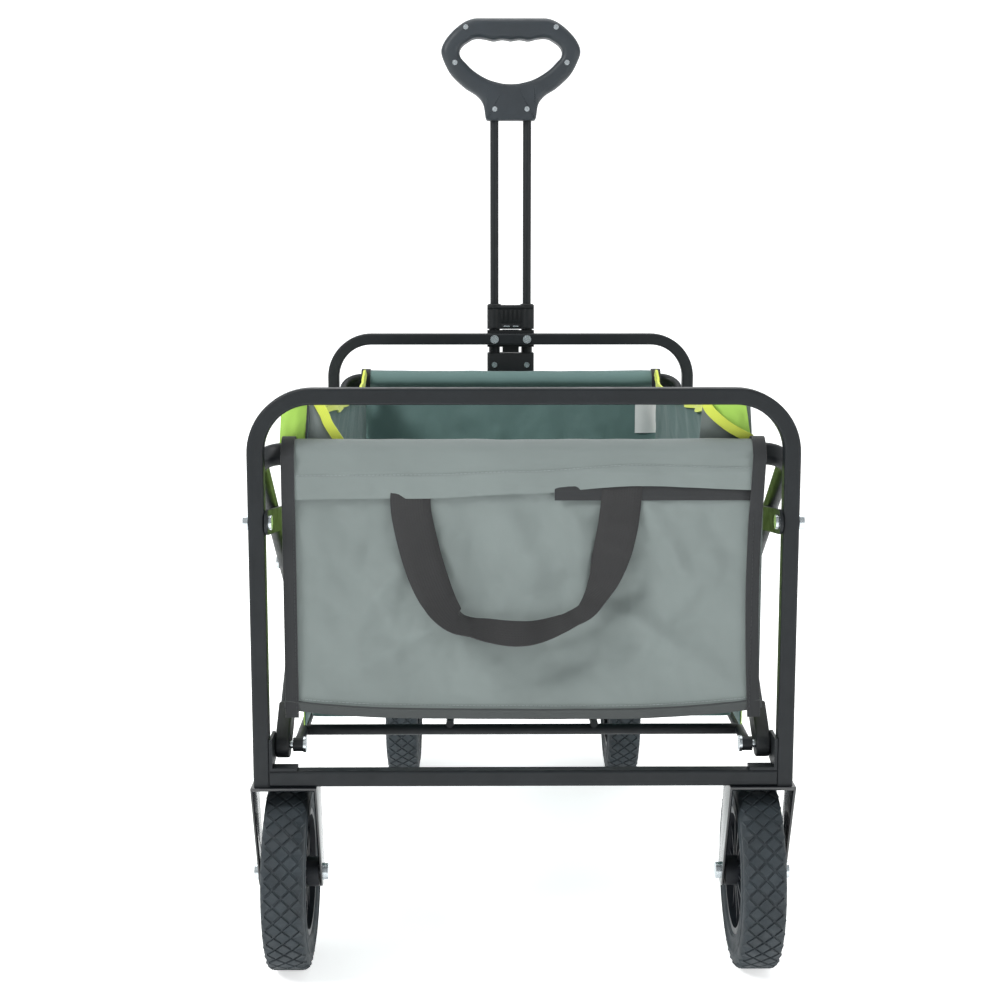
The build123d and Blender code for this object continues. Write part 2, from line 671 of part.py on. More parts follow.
STRAP_Y = PIVOT_Y + HEM_RADIUS + HEM_WALL + GAP / 2
with BuildPart() as carry_strap:
    with BuildSketch(Plane.XZ.offset(STRAP_Y)):
        with BuildLine():
            FilletPolyline(
                (-STRAP_HALF_SPAN, STRAP_TOP),
                (-STRAP_HALF_SPAN, STRAP_LOW + 50),
                (-STRAP_HALF_SPAN + 50, STRAP_LOW),
                (STRAP_HALF_SPAN - 50, STRAP_LOW),
                (STRAP_HALF_SPAN, STRAP_LOW + 50),
                (STRAP_HALF_SPAN, STRAP_TOP),
                radius=28,
            )
        trace(line_width=STRAP_WIDE)
    extrude(amount=STRAP_THICK)
write(carry_strap, "carry_strap")


# ---- pull handle ---------------------------------------------------------------
ROD_X = ROD_SPACING / 2
TOP_BAR_Z = HOOP_TOP - TUBE / 2
CLIP_HEIGHT = 24.0
CLIP_TONGUE = 33.0
CLIP_TONGUE_WIDE = 24.0
BAR_FRONT = HALF + TUBE / 2
with BuildPart() as handle_clip:
    with BuildSketch(Plane.XY.offset(TOP_BAR_Z - CLIP_HEIGHT / 2)):
        with Locations((0, BAR_FRONT + (HANDLE_Y - BAR_FRONT) / 2)):
            Rectangle(LOCK_WIDTH, HANDLE_Y - BAR_FRONT)
        with Locations((-ROD_X, HANDLE_Y), (ROD_X, HANDLE_Y)):
            Circle(HANDLE_TUBE_RADIUS + GAP, mode=Mode.SUBTRACT)
    extrude(amount=CLIP_HEIGHT)
    with BuildSketch(Plane.XZ.offset(-(HALF + TUBE))):
        with Locations((0, TOP_BAR_Z)):
            with GridLocations(ROD_SPACING, 1, 2, 1):
                Circle(PIN_RADIUS + FIT)
    extrude(amount=2 * TUBE, mode=Mode.SUBTRACT)
    with Locations((0, BAR_FRONT + CLIP_BASE / 2, LOCK_BOTTOM - 1 - CLIP_TONGUE / 2)):
        Box(CLIP_TONGUE_WIDE, CLIP_BASE, CLIP_TONGUE)
write(handle_clip, "handle_clip")

YOKE_DEPTH = 24.0
YOKE_TOP = HANDLE_PIVOT_HEIGHT + 32.0
YOKE_BORE_RISE = 14.0  # tubes start this far above the pivot
EAR_REACH = 12.0
with BuildPart() as handle_yoke:
    with BuildSketch(across(-LOCK_WIDTH / 2, HANDLE_PIVOT_Y, HANDLE_PIVOT_HEIGHT)):
        Circle(EAR_REACH)
        with Locations((-HANDLE_LEAN / 2, (YOKE_TOP - HANDLE_PIVOT_HEIGHT) / 2)):
            Rectangle(YOKE_DEPTH - 2, YOKE_TOP - HANDLE_PIVOT_HEIGHT)
        Circle(PIN_RADIUS + FIT, mode=Mode.SUBTRACT)
    extrude(amount=LOCK_WIDTH)
    with BuildSketch(Plane.XY.offset(HANDLE_PIVOT_HEIGHT + YOKE_BORE_RISE)):
        with Locations((-ROD_X, HANDLE_Y), (ROD_X, HANDLE_Y)):
            Circle(HANDLE_TUBE_RADIUS + FIT)
    extrude(amount=YOKE_TOP, mode=Mode.SUBTRACT)
write(handle_yoke, "handle_yoke")

BRACKET_HALF = LOCK_WIDTH / 2 + 1 + SHEET
with BuildPart() as handle_bracket:
    with BuildSketch(across(-BRACKET_HALF, HANDLE_PIVOT_Y, HANDLE_PIVOT_HEIGHT)):
        Circle(EAR_REACH)
        with Locations(((BAR_FRONT - HANDLE_PIVOT_Y) / 2, 0)):
            Rectangle(HANDLE_PIVOT_Y - BAR_FRONT, TUBE)
        Circle(PIN_RADIUS + FIT, mode=Mode.SUBTRACT)
    extrude(amount=2 * BRACKET_HALF)
    with Locations((0, BAR_FRONT + SHEET + 50, HANDLE_PIVOT_HEIGHT)):
        Box(2 * (BRACKET_HALF - SHEET), 100, 60, mode=Mode.SUBTRACT)
write(handle_bracket, "handle_bracket")

with BuildPart() as handle_pivot_pin:
    rod_across(
        HANDLE_PIVOT_Y,
        HANDLE_PIVOT_HEIGHT,
        (
            (-BRACKET_HALF - PIN_HEAD, 2 * (BRACKET_HALF + PIN_HEAD), PIN_RADIUS),
            (-BRACKET_HALF - PIN_HEAD, PIN_HEAD, PIN_HEAD_RADIUS - 1),
            (BRACKET_HALF, PIN_HEAD, PIN_HEAD_RADIUS - 1),
        ),
    )
write(handle_pivot_pin, "handle_pivot_pin")

with BuildPart() as lower_tubes:
    with BuildSketch(Plane.XY.offset(HANDLE_PIVOT_HEIGHT + YOKE_BORE_RISE)):
        with Locations((-ROD_X, HANDLE_Y), (ROD_X, HANDLE_Y)):
            Circle(HANDLE_TUBE_RADIUS)
            Circle(ROD_RADIUS + FIT, mode=Mode.SUBTRACT)
    extrude(amount=LOCK_BOTTOM - HANDLE_PIVOT_HEIGHT - YOKE_BORE_RISE)
write(lower_tubes, "lower_tubes")

CLAMP_DEPTH = 24.0
CLAMP_FRONT = HANDLE_Y + CLAMP_DEPTH / 2
with BuildPart() as lower_clamp:
    with BuildSketch(Plane.XY.offset(CLAMP_BOTTOM)):
        with Locations((0, HANDLE_Y)):
            RectangleRounded(LOCK_WIDTH, CLAMP_DEPTH, 4)
        with Locations((-ROD_X, HANDLE_Y), (ROD_X, HANDLE_Y)):
            Circle(HANDLE_TUBE_RADIUS + FIT, mode=Mode.SUBTRACT)
    extrude(amount=CLAMP_HEIGHT)
write(lower_clamp, "lower_clamp")

SCREW_HEAD_RADIUS = 4.0
SCREW_HEAD = 2.0
with BuildPart() as clamp_screws:
    with BuildSketch(Plane.XZ.offset(-(HANDLE_Y - CLAMP_DEPTH / 2))):
        with Locations((0, CLAMP_BOTTOM + CLAMP_HEIGHT / 2)):
            with GridLocations(ROD_SPACING, 1, 2, 1):
                Circle(SCREW_HEAD_RADIUS)
    extrude(amount=SCREW_HEAD)
write(clamp_screws, "clamp_screws")

LOCK_DEPTH = 28.0
BUTTON_WIDTH = 22.0
BUTTON_HEIGHT = 14.0
BUTTON_TRAVEL = 3.0
BUTTON_PROUD = 5.0
BUTTON_POCKET = 8.0
LOCK_FRONT = HANDLE_Y + LOCK_DEPTH / 2
LOCK_Z = LOCK_BOTTOM + LOCK_HEIGHT / 2
with BuildPart() as lock_housing:
    with BuildSketch(Plane.XY.offset(LOCK_BOTTOM)):
        with Locations((0, HANDLE_Y)):
            RectangleRounded(LOCK_WIDTH, LOCK_DEPTH, 6)
        with Locations((-ROD_X, HANDLE_Y), (ROD_X, HANDLE_Y)):
            Circle(ROD_RADIUS + FIT, mode=Mode.SUBTRACT)
    extrude(amount=LOCK_HEIGHT)
    with Locations((0, LOCK_FRONT - BUTTON_POCKET / 2 + 1, LOCK_Z)):
        Box(BUTTON_WIDTH, BUTTON_POCKET + 2, BUTTON_HEIGHT, mode=Mode.SUBTRACT)
write(lock_housing, "lock_housing")

with BuildPart() as release_button:
    depth = BUTTON_PROUD + BUTTON_POCKET - BUTTON_TRAVEL - 1
    with Locations((0, LOCK_FRONT + BUTTON_PROUD - depth / 2, LOCK_Z)):
        Box(BUTTON_WIDTH - 2 * GAP, depth, BUTTON_HEIGHT - 2 * GAP)
    fillet(release_button.edges().filter_by(Axis.Y), 2)
write(release_button, "release_button")

# ---- grip ----------------------------------------------------------------------
GRIP_BOTTOM = GRIP_TOP - GRIP_HEIGHT
HOLE_TOP = GRIP_TOP - GRIP_BAR
HOLE_BOTTOM = HOLE_TOP - HAND_HOLE_HEIGHT
ROD_TOP = GRIP_BOTTOM + 26.0
ROD_POCKET = 1.0


def make_grip(name, facing):
    """One half of the D grip; facing is -1 for the rear shell, +1 for the front one."""
    half = GRIP_WIDTH / 2
    neck = NECK_WIDTH / 2
    with BuildPart() as grip:
        with BuildSketch(Plane.XZ.offset(-HANDLE_Y)):
            with BuildLine():
                Polyline(
                    (-neck, GRIP_BOTTOM),
                    (neck, GRIP_BOTTOM),
                    (neck, GRIP_BOTTOM + 22),
                    (half - 20, HOLE_BOTTOM - 8),
                    (half, HOLE_BOTTOM + 28),
                    (half - 14, GRIP_TOP),
                    (-half + 14, GRIP_TOP),
                    (-half, HOLE_BOTTOM + 28),
                    (-half + 20, HOLE_BOTTOM - 8),
                    (-neck, GRIP_BOTTOM + 22),
                    close=True,
                )
            make_face()
            fillet(vertices().group_by(Axis.Y)[-1], 22)
            fillet(vertices().group_by(Axis.X)[0] + vertices().group_by(Axis.X)[-1], 20)
            with Locations((0, (HOLE_TOP + HOLE_BOTTOM) / 2)):
                RectangleRounded(HAND_HOLE_WIDTH, HAND_HOLE_HEIGHT, 20, mode=Mode.SUBTRACT)
        extrude(amount=-facing * GRIP_DEPTH / 2)
        outer = faces().sort_by(Axis.Y)[-1 if facing > 0 else 0]
        fillet(outer.edges(), 7)
        with BuildSketch(Plane.XY.offset(GRIP_BOTTOM - 1)):
            with Locations((-ROD_X, HANDLE_Y), (ROD_X, HANDLE_Y)):
                Circle(ROD_RADIUS + FIT)
        extrude(amount=ROD_TOP + ROD_POCKET - GRIP_BOTTOM + 1, mode=Mode.SUBTRACT)
    write(grip, name)


make_grip("grip_rear_shell", -1)
make_grip("grip_front_shell", 1)

with BuildPart() as rods:
    with BuildSketch(Plane.XY.offset(ROD_BOTTOM)):
        with Locations((-ROD_X, HANDLE_Y), (ROD_X, HANDLE_Y)):
            Circle(ROD_RADIUS)
            Circle(ROD_RADIUS - ROD_WALL, mode=Mode.SUBTRACT)
    extrude(amount=ROD_TOP - ROD_BOTTOM)
write(rods, "rods")

SCREW_X_TOP = 64.0
SCREW_X_SIDE = 81.0
SCREW_X_NECK = 24.0
with BuildPart() as grip_screws:
    with BuildSketch(Plane.XZ.offset(-(HANDLE_Y - GRIP_DEPTH / 2))):
        for x, z in (
            (SCREW_X_TOP, GRIP_TOP - 13),
            (SCREW_X_SIDE, HOLE_TOP - HAND_HOLE_HEIGHT / 2 - 3),
            (SCREW_X_NECK, GRIP_BOTTOM + 16),
        ):
            with Locations((-x, z), (x, z)):
                Circle(SCREW_HEAD_RADIUS)
    extrude(amount=1.2)
write(grip_screws, "grip_screws")
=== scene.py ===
# %% [markdown]
# A folding camp wagon, finished in Blender.
#
# The steel frame, wheels, pins and handle come in as a fixed frame of rigid parts. Everything soft is
# made here: two end panels, the side walls, a carry strap and the floor mats. So is the fine detail
# that a plain solid leaves out: tyre tread, wheel ribs, the moulded grip, screws and stitches.
# Lengths are in metres. X points right seen from the rear, Y towards the handle, Z up.

# %% Load the frame
import json
import math

import bmesh
import bpy
import numpy as np
from mathutils import Matrix, Vector, noise


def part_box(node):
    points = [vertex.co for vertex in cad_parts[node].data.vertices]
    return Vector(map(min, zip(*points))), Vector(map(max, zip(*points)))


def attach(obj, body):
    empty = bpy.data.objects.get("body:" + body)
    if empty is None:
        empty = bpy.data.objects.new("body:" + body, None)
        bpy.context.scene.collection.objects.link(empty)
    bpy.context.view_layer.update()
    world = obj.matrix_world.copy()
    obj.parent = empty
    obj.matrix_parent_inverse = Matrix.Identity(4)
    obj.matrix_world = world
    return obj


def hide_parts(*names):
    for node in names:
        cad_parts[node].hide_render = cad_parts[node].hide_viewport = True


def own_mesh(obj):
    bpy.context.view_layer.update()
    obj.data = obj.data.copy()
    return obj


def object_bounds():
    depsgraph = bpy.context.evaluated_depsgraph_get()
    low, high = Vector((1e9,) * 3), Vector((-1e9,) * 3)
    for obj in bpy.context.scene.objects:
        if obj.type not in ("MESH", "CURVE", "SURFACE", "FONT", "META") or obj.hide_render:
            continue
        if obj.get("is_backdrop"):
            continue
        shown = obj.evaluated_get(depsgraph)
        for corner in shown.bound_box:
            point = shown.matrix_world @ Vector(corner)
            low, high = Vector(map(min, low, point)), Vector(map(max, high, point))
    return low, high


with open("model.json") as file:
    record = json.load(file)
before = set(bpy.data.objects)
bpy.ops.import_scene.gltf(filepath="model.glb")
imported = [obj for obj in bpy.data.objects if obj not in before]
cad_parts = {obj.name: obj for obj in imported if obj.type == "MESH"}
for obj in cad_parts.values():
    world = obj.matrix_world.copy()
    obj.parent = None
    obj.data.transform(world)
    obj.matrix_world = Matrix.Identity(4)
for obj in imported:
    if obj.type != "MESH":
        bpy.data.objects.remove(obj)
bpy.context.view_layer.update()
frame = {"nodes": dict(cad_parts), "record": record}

nodes = frame["nodes"]
MM = 0.001

# %% [markdown]
# Camera and light come first, so that every later piece can be judged in them.
# The wagon is seen from behind at a standing child's eye height, looking slightly down. A long lens
# keeps the near and far hoops close in size. Three large soft lights and a pale room give the tubes
# long gentle highlights.

# %% Camera and light
CAMERA_AT = (-0.037, -2.102, 0.7465)
LOOK_DOWN = 8.8
LOOK_RIGHT = 0.5
LENS = 62.9

camera = bpy.data.objects.new("camera", bpy.data.cameras.new("camera"))
camera.data.lens = LENS
camera.data.sensor_width = 36
camera.location = CAMERA_AT
camera.rotation_euler = (math.radians(90 - LOOK_DOWN), 0, math.radians(-LOOK_RIGHT))
bpy.context.scene.collection.objects.link(camera)
bpy.context.scene.camera = camera
bpy.context.scene.view_settings.view_transform = "Standard"


def soft_light(name, place, aim, size, power):
    """A square studio light at place, pointing at aim."""
    lamp = bpy.data.lights.new(name, "AREA")
    lamp.size = size
    lamp.energy = power
    made = bpy.data.objects.new(name, lamp)
    made.location = place
    made.rotation_euler = (Vector(aim) - Vector(place)).to_track_quat("-Z", "Y").to_euler()
    bpy.context.scene.collection.objects.link(made)


MIDDLE = (0, 0, 0.45)
soft_light("key_light", (-2.1, -1.9, 2.5), MIDDLE, 0.9, 74)
soft_light("fill_light", (2.3, -2.2, 1.3), MIDDLE, 1.8, 22)
soft_light("top_light", (0.1, 0.6, 2.9), MIDDLE, 2.0, 34)

world = bpy.data.worlds.new("studio")
world.use_nodes = True
world.node_tree.nodes["Background"].inputs["Color"].default_value = (0.93, 0.96, 0.97, 1)
world.node_tree.nodes["Background"].inputs["Strength"].default_value = 0.5
bpy.context.scene.world = world

# %% [markdown]
# Every finish is a small shader tree. One helper adds a node and joins it up in a single call, and
# another gives the two or three nodes that make a colour or a surface uneven. Patterns read the
# object's own coordinates or a UV map in metres, so a grain keeps its real size on every piece.

# %% Node helpers
def add(tree, kind, inputs=None, **settings):
    """Add a node, set its properties, and set or link its inputs."""
    made = tree.nodes.new(kind)
    for key, value in settings.items():
        setattr(made, key, value)
    for key, value in (inputs or {}).items():
        if isinstance(value, bpy.types.NodeSocket):
            tree.links.new(value, made.inputs[key])
        else:
            made.inputs[key].default_value = value
    return made


def paint(red, green, blue):
    """A screen colour, 0 to 255, as the linear colour that a shader takes."""
    def linear(level):
        level /= 255
        return level / 12.92 if level <= 0.04045 else ((level + 0.055) / 1.055) ** 2.4

    return (linear(red), linear(green), linear(blue), 1)


def shader(name, **sockets):
    """A material with one principled shader, its constants set on its own sockets."""
    material = bpy.data.materials.new(name)
    material.use_nodes = True
    body = material.node_tree.nodes["Principled BSDF"]
    for key, value in sockets.items():
        body.inputs[key.replace("_", " ")].default_value = value
    return material, material.node_tree, body


def blotches(tree, where, scale, low, high, detail=4):
    """Soft noise between two values, as a plain number."""
    cloud = add(tree, "ShaderNodeTexNoise", {"Vector": where, "Scale": scale, "Detail": detail})
    spread = add(tree, "ShaderNodeMapRange", {
        "Value": cloud.outputs["Fac"], "From Min": 0.3, "From Max": 0.7, "To Min": low, "To Max": high})
    return spread.outputs["Result"]


def shaded(tree, colour, factor):
    """The colour made lighter or darker by a factor round 1."""
    return add(tree, "ShaderNodeVectorMath", {0: colour[:3], "Scale": factor}, operation="SCALE").outputs[0]


# %% [markdown]
# The rigid finishes differ in gloss, in grain and in how their colour wanders. Powder coat has a
# faint orange peel, enamel on the forks is wet and smooth, zinc is bright with cloudy patches, the
# moulded parts are slightly leathery, and rubber is dull and dusty. One function covers them all.

# %% Rigid finishes
def rigid_finish(name, colour, roughness, grain, depth, wander=0.12, patch=28, **sockets):
    """A hard surface: grain is the bump's count per metre and depth its height in metres."""
    material, tree, body = shader(name, **sockets)
    where = add(tree, "ShaderNodeTexCoord").outputs["Object"]
    tint = shaded(tree, colour, blotches(tree, where, patch, 1 - wander, 1 + wander))
    tree.links.new(tint, body.inputs["Base Color"])
    worn = blotches(tree, where, patch * 2.3, roughness * 0.85, roughness * 1.15)
    tree.links.new(worn, body.inputs["Roughness"])
    grains = add(tree, "ShaderNodeTexNoise", {"Vector": where, "Scale": grain, "Detail": 2})
    bump = add(tree, "ShaderNodeBump", {"Height": grains.outputs["Fac"], "Strength": 0.6, "Distance": depth})
    tree.links.new(bump.outputs[0], body.inputs["Normal"])
    return material


powder_coat = rigid_finish("powder_coat", paint(21, 25, 28), 0.48, 900, 0.00012, Specular_IOR_Level=0.3)
enamel = rigid_finish("enamel", paint(20, 23, 26), 0.2, 260, 0.0001, Coat_Weight=0.5, Coat_Roughness=0.1)
zinc = rigid_finish("zinc", paint(205, 212, 216), 0.26, 700, 0.00005, 0.06, 90, Metallic=1.0)
moulded = rigid_finish("moulded", paint(22, 25, 27), 0.52, 1400, 0.00015, Specular_IOR_Level=0.3)
grip_plastic = rigid_finish("grip_plastic", paint(34, 41, 47), 0.5, 1700, 0.0002)
rubber = rigid_finish("rubber", paint(36, 44, 49), 0.72, 1100, 0.0003, 0.2, 40)
wheel_plastic = rigid_finish("wheel_plastic", paint(24, 28, 34), 0.42, 1200, 0.0001)
print("rigid finishes ready")

# %% [markdown]
# Cloth is two sets of threads crossing at right angles. Two wave patterns on the sheet's own UV map,
# which is in metres, make the threads, and a slow noise gives the cloudy, slightly creased colour of
# coated polyester. Webbing and binding tape are the same idea with coarser threads one way.

# %% Cloth finishes
WAVE_PERIOD = 0.314  # a wave texture repeats every 0.314 / scale


def cloth_finish(name, colour, thread=0.9 * MM, along=None, wander=0.07, depth=0.1 * MM, **sockets):
    """Woven cloth; thread is the pitch across, and along the pitch the other way."""
    material, tree, body = shader(name, Sheen_Weight=0.18, Sheen_Roughness=0.45, Roughness=0.78, **sockets)
    where = add(tree, "ShaderNodeUVMap", uv_map="cloth").outputs[0]
    threads = [
        add(tree, "ShaderNodeTexWave", {"Vector": where, "Scale": WAVE_PERIOD / pitch, "Distortion": 0.6},
            wave_type="BANDS", bands_direction=way).outputs["Fac"]
        for pitch, way in ((thread, "X"), (along or thread, "Y"))
    ]
    weave = add(tree, "ShaderNodeMath", {0: threads[0], 1: threads[1]}, operation="MAXIMUM").outputs[0]
    cloudy = blotches(tree, where, 9, 1 - wander, 1 + wander, 6)
    fleck = add(tree, "ShaderNodeMapRange", {"Value": weave, "To Min": 0.88, "To Max": 1.04}).outputs[0]
    both = add(tree, "ShaderNodeMath", {0: cloudy, 1: fleck}, operation="MULTIPLY").outputs[0]
    tree.links.new(shaded(tree, colour, both), body.inputs["Base Color"])
    bump = add(tree, "ShaderNodeBump", {"Height": weave, "Strength": 0.5, "Distance": depth})
    tree.links.new(bump.outputs[0], body.inputs["Normal"])
    return material


grey_cloth = cloth_finish("grey_cloth", paint(112, 121, 119))
teal_lining = cloth_finish("teal_lining", paint(92, 119, 116))
lime_cloth = cloth_finish("lime_cloth", paint(158, 200, 84))
yellow_tape = cloth_finish("yellow_tape", paint(210, 222, 84), 1.6 * MM, 1.1 * MM)
black_tape = cloth_finish("black_tape", paint(31, 33, 35), 1.8 * MM, 1.2 * MM)
grey_tape = cloth_finish("grey_tape", paint(58, 62, 62), 1.8 * MM, 1.2 * MM)
webbing = cloth_finish("webbing", paint(33, 33, 34), 2.6 * MM, 1.4 * MM, depth=0.3 * MM)
thread_grey = rigid_finish("thread_grey", paint(132, 140, 139), 0.8, 2500, 0.0001)
thread_black = rigid_finish("thread_black", paint(52, 54, 56), 0.8, 2500, 0.0001)
label_white = cloth_finish("label_white", paint(226, 228, 226), 0.5 * MM)
print("cloth finishes ready")

# %% [markdown]
# The frame's rigid parts keep their shape and only change finish. The record already says which part
# has which finish, so the list follows its material slots.

# %% Repaint the rigid parts
FINISH_OF_SLOT = {
    "frame_black": powder_coat, "fork_black": enamel, "fastener_zinc": zinc, "fitting_black": moulded,
    "grip_black": grip_plastic, "tread": rubber, "wheel_centre": wheel_plastic,
}
repainted = 0
for part in frame["record"]["subparts"]:
    finish = FINISH_OF_SLOT.get(part["material_slot"])
    if finish:
        mesh = nodes[part["node"]].data
        mesh.materials.clear()
        mesh.materials.append(finish)
        repainted += 1
print("repainted", repainted, "parts")

# %% [markdown]
# Meshes are made from plain lists of corners and faces. A helper turns them into an object at the
# origin, so that its place is in its mesh, and can give it the UV map in metres that cloth needs.

# %% Mesh helpers
def mesh_object(name, corners, faces, material, uvs=None, smooth=True):
    """An object at the origin; uvs is one (u, v) for each corner."""
    mesh = bpy.data.meshes.new(name)
    mesh.from_pydata([tuple(c) for c in corners], [], faces)
    mesh.materials.append(material)
    if uvs is not None:
        layer = mesh.uv_layers.new(name="cloth")
        for loop in mesh.loops:
            layer.data[loop.index].uv = uvs[loop.vertex_index]
    mesh.polygons.foreach_set("use_smooth", [smooth] * len(mesh.polygons))
    made = bpy.data.objects.new(name, mesh)
    bpy.context.scene.collection.objects.link(made)
    return made


def settled(made):
    """Turn an object's modifiers into plain mesh and take them off it."""
    bpy.context.view_layer.update()
    whole = made.evaluated_get(bpy.context.evaluated_depsgraph_get())
    mesh = bpy.data.meshes.new_from_object(whole)
    made.modifiers.clear()
    made.data = mesh
    return made


def modified(made, *steps):
    """Add modifiers given as (kind, settings) and settle them."""
    for kind, settings in steps:
        step = made.modifiers.new(kind.lower(), kind)
        for key, value in settings.items():
            setattr(step, key, value)
    return settled(made)


def crisp(made, angle=35):
    """Smooth shading that stays sharp at edges past an angle."""
    shape = bmesh.new()
    shape.from_mesh(made.data)
    for face in shape.faces:
        face.smooth = True
    for edge in shape.edges:
        edge.smooth = len(edge.link_faces) == 2 and edge.calc_face_angle(0) < math.radians(angle)
    shape.to_mesh(made.data)
    shape.free()
    return made


def outward(made):
    """Merge doubles and point every face outwards."""
    shape = bmesh.new()
    shape.from_mesh(made.data)
    bmesh.ops.remove_doubles(shape, verts=shape.verts, dist=1e-6)
    bmesh.ops.recalc_face_normals(shape, faces=shape.faces)
    shape.to_mesh(made.data)
    shape.free()
    return made


# %% [markdown]
# What repeats is left to Geometry Nodes. Three trees serve the whole wagon: one repeats a slice round
# a wheel, one lays stitches along a line, and one sets a fastener at each of a few places. Each tree
# takes its sizes as named inputs, makes its copies real, and gives them their material.

# %% Geometry node trees
def new_tree(name, **sockets):
    """A geometry tree with one geometry in, the named inputs, and one geometry out."""
    tree = bpy.data.node_groups.new(name, "GeometryNodeTree")
    tree.interface.new_socket("Geometry", in_out="INPUT", socket_type="NodeSocketGeometry")
    for label, kind in sockets.items():
        tree.interface.new_socket(label, in_out="INPUT", socket_type="NodeSocket" + kind)
    tree.interface.new_socket("Geometry", in_out="OUTPUT", socket_type="NodeSocketGeometry")
    return tree, add(tree, "NodeGroupInput").outputs


def close_tree(tree, given, copies):
    """Make the copies real and finish them with the tree's material."""
    real = add(tree, "GeometryNodeRealizeInstances", {"Geometry": copies})
    coated = add(tree, "GeometryNodeSetMaterial", {
        "Geometry": real.outputs[0], "Material": given["Material"]})
    add(tree, "NodeGroupOutput", {"Geometry": coated.outputs[0]})


def round_tree():
    """Repeats the slice round an X axis through Centre."""
    tree, given = new_tree("round_the_wheel", Count="Int", Centre="Vector", Material="Material")
    row = add(tree, "GeometryNodeMeshLine", {"Count": given["Count"], "Offset": (0, 0, 0)})
    step = add(tree, "ShaderNodeMath", {0: math.tau, 1: given["Count"]}, operation="DIVIDE").outputs[0]
    index = add(tree, "GeometryNodeInputIndex").outputs[0]
    turn = add(tree, "ShaderNodeMath", {0: index, 1: step}, operation="MULTIPLY").outputs[0]
    turned = add(tree, "ShaderNodeCombineXYZ", {"X": turn}).outputs[0]
    copies = add(tree, "GeometryNodeInstanceOnPoints", {
        "Points": row.outputs["Mesh"], "Instance": given["Geometry"], "Rotation": turned})
    moved = add(tree, "GeometryNodeTransform", {
        "Geometry": copies.outputs[0], "Translation": given["Centre"]})
    close_tree(tree, given, moved.outputs[0])
    return tree


def stitch_tree():
    """Lays short round stitches end to end along a line of edges."""
    tree, given = new_tree("stitches", Pitch="Float", Length="Float", Radius="Float", Material="Material")
    line = add(tree, "GeometryNodeMeshToCurve", {"Mesh": given["Geometry"]})
    spaced = add(tree, "GeometryNodeResampleCurve", {
        "Curve": line.outputs[0], "Length": given["Pitch"]}, mode="LENGTH")
    stitch = add(tree, "GeometryNodeMeshCylinder", {
        "Vertices": 6, "Radius": given["Radius"], "Depth": given["Length"]})
    tangent = add(tree, "GeometryNodeInputTangent").outputs[0]
    turned = add(tree, "FunctionNodeAlignRotationToVector", {"Vector": tangent}, axis="Z")
    copies = add(tree, "GeometryNodeInstanceOnPoints", {
        "Points": spaced.outputs[0], "Instance": stitch.outputs["Mesh"], "Rotation": turned.outputs[0]})
    close_tree(tree, given, copies.outputs[0])
    return tree


def places_tree():
    """Sets the fastener at each corner of another object, called Places."""
    tree, given = new_tree("at_places", Places="Object", Material="Material")
    points = add(tree, "GeometryNodeObjectInfo", {"Object": given["Places"]}, transform_space="ORIGINAL")
    copies = add(tree, "GeometryNodeInstanceOnPoints", {
        "Points": points.outputs["Geometry"], "Instance": given["Geometry"]})
    close_tree(tree, given, copies.outputs[0])
    return tree


ROUND, STITCHES, PLACES = round_tree(), stitch_tree(), places_tree()


def grown(made, tree, **values):
    """Run an object through a geometry tree and keep the result as a plain mesh."""
    step = made.modifiers.new(tree.name, "NODES")
    step.node_group = tree
    for item in tree.interface.items_tree:
        if item.in_out == "INPUT" and item.name in values:
            step[item.identifier] = values[item.name]
    return settled(made)


# %% [markdown]
# A tyre is a ring of rubber with a rounded shoulder and a low ridge where the tread meets the side.
# It could be turned and have its pattern painted as bump, but the grooves show at the silhouette, so
# each diamond block is real. One slice holds a full diamond row and the half-step row beside it, and
# the slice is repeated round the wheel. The blocks follow the tyre's crown.

# %% Tyres with diamond tread
TREAD_COUNT = 36
BLOCK_STEP = 17 * MM  # centre to centre across the tyre
BLOCK_HALF = 7.4 * MM
BLOCK_HEIGHT = 1.6 * MM
SHOULDER = 8 * MM
TURN_STEPS = 96


def spun(name, profile, centre, material, steps=TURN_STEPS):
    """Turn a closed (across, radius) outline round the X axis through centre."""
    corners, faces = [], []
    count = len(profile)
    for i in range(steps):
        angle = math.tau * i / steps
        for across, radius in profile:
            corners.append(Vector((across, radius * math.cos(angle), radius * math.sin(angle))) + centre)
        for j in range(count):
            k, after = (j + 1) % count, (i + 1) % steps
            faces.append((i * count + j, i * count + k, after * count + k, after * count + j))
    return crisp(outward(mesh_object(name, corners, faces, material)))


def tyre_profile(half, outer, bore):
    """Half-round shoulders, a ridge on each side, and a bead where the rim sits."""
    base = outer - BLOCK_HEIGHT
    side = [(half - SHOULDER + SHOULDER * math.sin(a), base - SHOULDER + SHOULDER * math.cos(a))
            for a in np.linspace(0, math.pi / 2, 7)]
    ridge = half + 0.9 * MM
    side += [(half, outer - 14 * MM), (ridge, outer - 15 * MM), (ridge, outer - 16.5 * MM),
             (half, outer - 17.5 * MM), (half - 1.5 * MM, bore + 9 * MM), (half, bore + 3 * MM),
             (half - 2 * MM, bore)]
    return side + [(-x, r) for x, r in reversed(side)]


def crown(across, half, outer):
    """Radius of the tread surface at a distance from the tyre's middle."""
    past = max(0.0, abs(across) - (half - SHOULDER))
    return outer - SHOULDER + math.sqrt(max(SHOULDER ** 2 - past ** 2, 0))


